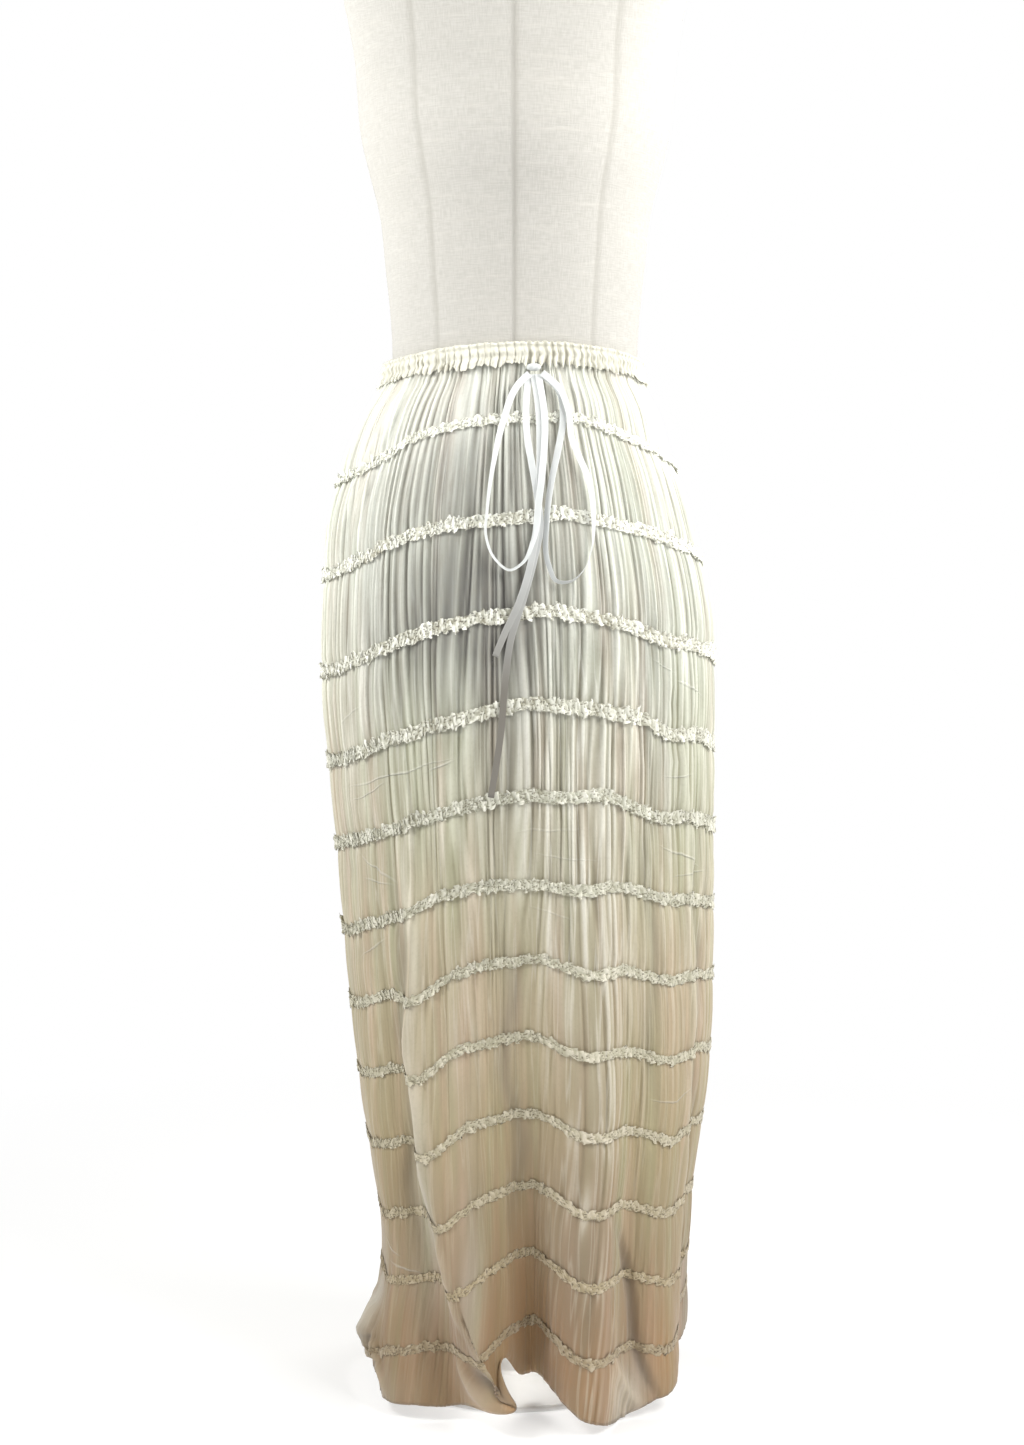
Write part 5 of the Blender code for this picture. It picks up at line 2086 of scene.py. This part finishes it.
    def build_stand(self, material: Material) -> None:
        """Builds the cap, plate, pole and foot.

        Args:
            material: the enamel.
        """
        top = FORM[-1].height + self.gap
        cap = [(radius, top + height) for radius, height in self.cap_profile]
        cap += [(self.cap_radius, top + 0.004), (self.cap_radius, top), (0, top)]
        self.turned("neck_cap", "form_cap", cap, material)
        top = FORM[0].height - self.gap
        low = top - self.flange_thickness
        plate = [(0, top), (self.flange_radius, top), (self.flange_radius, low), (0, low)]
        self.turned("torso_plate", "form_flange", plate, material)
        top, low = low - self.gap, self.hub_height + self.gap
        pole = [(0, top), (self.pole_radius, top), (self.pole_radius, low), (0, low)]
        self.turned("stand_pole", "form_pole", pole, material)
        thick, hub, foot_radius = self.base_thickness, self.hub_radius, self.base_radius
        foot = [(0, self.hub_height), (hub - 0.003, self.hub_height), (hub, self.hub_height - 0.003)]
        foot += [(hub, thick + 0.003), (hub + 0.004, thick), (foot_radius - 0.002, thick)]
        foot += [(foot_radius, thick - 0.002), (foot_radius, 0), (0, 0)]
        self.turned("stand_foot", "form_base", foot, material)


# --- The studio ---------------------------------------------------------------------------------
class Lamp(NamedTuple):
    """A soft square light: where it stands, what it points at, its side and its power."""

    name: str
    place: Place
    aim: Place
    side: float
    power: float
    colour: Colour


@dataclass(frozen=True)
class Studio:
    """A plain pale floor under soft light, and the camera."""

    camera_place: Place = (-0.003, -2.2, 0.785)
    camera_tilt: float = 86.8  # degrees
    lens: float = 54.81  # millimetres
    background: Colour = (1.0, 1.0, 1.0)
    ambient: float = 0.3
    ambient_colour: Colour = (1.0, 0.995, 0.98)
    floor_radius: float = 9.0
    floor_drop: float = 0.0002  # below the foot
    glow_from: Pair = (0.35, 1.5)  # between these radii the floor turns into glow
    floor_colours: tuple[Colour, Colour] = ((0.52, 0.52, 0.516), (0.55, 0.55, 0.546))
    near_glow: Colour = (0.5, 0.5, 0.5)
    lamps: tuple[Lamp, ...] = (
        Lamp("key", (1.1, -1.15, 1.75), (0.0, 0.0, 1.00), 0.7, 20.0, (1.0, 0.995, 0.975)),
        Lamp("right_side", (0.95, -0.35, 1.45), (0.0, 0.0, 0.85), 0.5, 10.0, (1.0, 0.995, 0.975)),
        Lamp("left_side", (-0.95, -0.4, 1.35), (0.0, 0.0, 0.75), 0.5, 13.0, (1.0, 1.0, 0.98)),
        Lamp("fill", (-1.9, -2.0, 1.3), (0.0, 0.0, 0.6), 1.6, 5.0, (0.97, 0.98, 1.0)),
        Lamp("rim", (1.2, 1.3, 1.7), (0.0, 0.0, 0.9), 1.0, 12.0, (1.0, 0.99, 0.97)),
        Lamp("glow", (0.02, -0.06, 0.12), (0.0, -0.06, 0.0), 0.05, 0.14, (1.0, 0.99, 0.97)),
        Lamp("back", (-1.4, 1.8, 1.7), (0.0, 0.0, 0.7), 1.3, 12.0, (1.0, 1.0, 1.0)),
    )

    def camera(self) -> None:
        """Sets the camera."""
        data = bpy.data.cameras.new("camera")
        data.lens = self.lens
        obj = bpy.data.objects.new("camera", data)
        obj.location = self.camera_place
        obj.rotation_euler = (math.radians(self.camera_tilt), 0, 0)
        bpy.context.scene.collection.objects.link(obj)
        bpy.context.scene.camera = obj

    def light(self) -> None:
        """Sets the even light from all round and the soft lamps."""
        world = bpy.data.worlds.new("studio")
        bpy.context.scene.world = world
        graph = Graph(world)
        lit, seen = (
            graph.socket("Background", 0, values={"Color": (*colour, 1.0), "Strength": strength})
            for colour, strength in ((self.ambient_colour, self.ambient), (self.background, 1.0))
        )
        direct = graph.socket("LightPath", "Is Camera Ray")
        values = {"Fac": direct, "Shader": lit, "Shader_001": seen}
        both = graph.socket("MixShader", 0, values=values)
        graph.node("OutputWorld", values={"Surface": both})
        for lamp in self.lamps:
            data = bpy.data.lights.new(lamp.name, "AREA")
            data.size, data.energy, data.color = lamp.side, lamp.power, lamp.colour
            obj = bpy.data.objects.new(lamp.name, data)
            obj.location = lamp.place
            obj.rotation_euler = (Vector(lamp.aim) - Vector(lamp.place)).to_track_quat("-Z", "Y").to_euler()
            bpy.context.scene.collection.objects.link(obj)

    def floor(self) -> None:
        """Lays the floor, a wide pale disc that turns into plain glow away from the stand."""
        material = bpy.data.materials.new("pale_floor")
        graph = Graph(material)
        grain = graph.noise(2.0, 3.0)
        centred = graph.socket("TexCoord", "Object")
        radius = graph.socket("VectorMath", "Value", {"operation": "LENGTH"}, {"Vector": centred})
        far = radius.within(*self.glow_from)
        graph.shade(
            Base_Color=graph.mix(far, graph.mix(grain, *self.floor_colours), (0.0, 0.0, 0.0)),
            Roughness=0.8,
            Specular_IOR_Level=0.0,
            Emission_Color=graph.mix(far, self.near_glow, self.background),
            Emission_Strength=1.0,
        )
        rings = np.linspace(0.001, self.floor_radius, 24)
        radius, turn = np.meshgrid(rings, ring_angles(96), indexing="ij")
        depth = np.full_like(turn, -self.floor_drop)
        points = np.stack([radius * np.sin(turn), radius * np.cos(turn), depth], axis=-1)
        add_surface("floor", points, material, (False, True))

    def tone(self) -> None:
        """Shows colours plainly."""
        bpy.context.scene.view_settings.view_transform = "Standard"


LOOP_LEFT = Ribbon("satin_loop_left", "ribbon_loop_left", FarEnd.BACK, listed(
    Way,
    (0.0125, 0.9975, 0.0098, 0), (0.004, 0.989, 0.0098, 6), (-0.011, 0.951, 0.0098, 22),
    (-0.02, 0.911, 0.0096, 52), (-0.0255, 0.868, 0.0098, 70), (-0.0265, 0.844, 0.0096, 74),
    (-0.018, 0.822, 0.0096, 72), (-0.005, 0.812, 0.0096, 68), (0.007, 0.819, 0.0096, 66),
    (0.0155, 0.837, 0.0096, 50), (0.021, 0.877, 0.0098, 12), (0.0245, 0.911, 0.0096, 0),
    (0.026, 0.954, 0.0101, 0), (0.0205, 0.997, 0.0096, 0),
))
LOOP_RIGHT = Ribbon("satin_loop_right", "ribbon_loop_right", FarEnd.BACK, listed(
    Way,
    (0.0235, 0.9985, 0.0119, 0), (0.039, 0.983, 0.0116, 6), (0.047, 0.961, 0.0114, 14),
    (0.05, 0.935, 0.0112, 10), (0.056, 0.92, 0.011, 4), (0.065, 0.898, 0.0106, 8),
    (0.07, 0.86, 0.0102, 30), (0.0685, 0.832, 0.0094, 62), (0.062, 0.813, 0.0086, 72),
    (0.05, 0.802, 0.0083, 66), (0.038, 0.802, 0.0082, 60), (0.03, 0.818, 0.0082, 50),
    (0.0285, 0.86, 0.0082, 42), (0.032, 0.892, 0.0082, 34), (0.039, 0.928, 0.0082, 24),
    (0.043, 0.956, 0.0082, 12), (0.038, 0.984, 0.0082, 4), (0.024, 0.997, 0.0082, 0),
))
TAIL_LONG = Ribbon("satin_tail_long", "ribbon_tail_long", FarEnd.CUT, listed(
    Way,
    (0.012, 0.9972, 0.0068, 0), (0.0095, 0.962, 0.0077, 6), (0.011, 0.934, 0.007, 4),
    (0.015, 0.911, 0.0068, -6), (0.02, 0.88, 0.0068, -10), (0.0225, 0.852, 0.0068, -6),
    (0.017, 0.822, 0.0068, 4), (0.007, 0.784, 0.0068, 12), (-0.004, 0.748, 0.0068, 8),
    (-0.009, 0.71, 0.0068, -4), (-0.013, 0.66, 0.0068, -12), (-0.022, 0.6, 0.0068, -16),
))
TAIL_SHORT = Ribbon("satin_tail_short", "ribbon_tail_short", FarEnd.CUT, listed(
    Way,
    (0.0165, 0.997, 0.0082, 0), (0.0205, 0.967, 0.0087, -6), (0.022, 0.926, 0.0082, -12),
    (0.021, 0.88, 0.0082, -8), (0.017, 0.836, 0.0082, 6), (0.004, 0.784, 0.0082, 10),
    (-0.01, 0.752, 0.0082, -8), (-0.018, 0.732, 0.0082, -16),
))


def write_sizes() -> None:
    """Brings the scene's placements up to date."""
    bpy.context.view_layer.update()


def main() -> None:
    """Builds everything in order: the camera and the ribbon first, then the cloth, form and studio."""
    studio = Studio()
    studio.camera()
    bright = SatinFinish(shade_from=0.82, shade_to=0.6).material()
    shaded = SatinFinish(name="shaded_satin_ribbon").material()
    for loop in (LOOP_LEFT, LOOP_RIGHT):
        loop.build(bright)
    for tail in (TAIL_LONG, TAIL_SHORT):
        tail.build(shaded)
    Knot().build(bright)
    voile = VoileFinish().material()
    lace = LaceFinish().material()
    form = DressForm()
    form.build_torso(LinenFinish().material())
    form.build_stand(EnamelFinish().material())
    Panel("front_panel", "skirt_front", -90, 90, (0.64, 0.99)).build(voile, form)
    Panel("back_panel", "skirt_back", 90, 270, (0.61, 0.99)).build(voile, form)
    casing = VoileFinish(name="ivory_casing", valley_cover=0.97, ridge_cover=1.0, tinted=0.8).material()
    Waistband((1.0, 0.04)).build(casing, form)
    for number, strip in enumerate(LACE_STRIPS, start=1):
        LaceRow(number, strip).build(lace)
    studio.light()
    studio.floor()
    studio.tone()
    write_sizes()


if __name__ == "__main__":
    main()
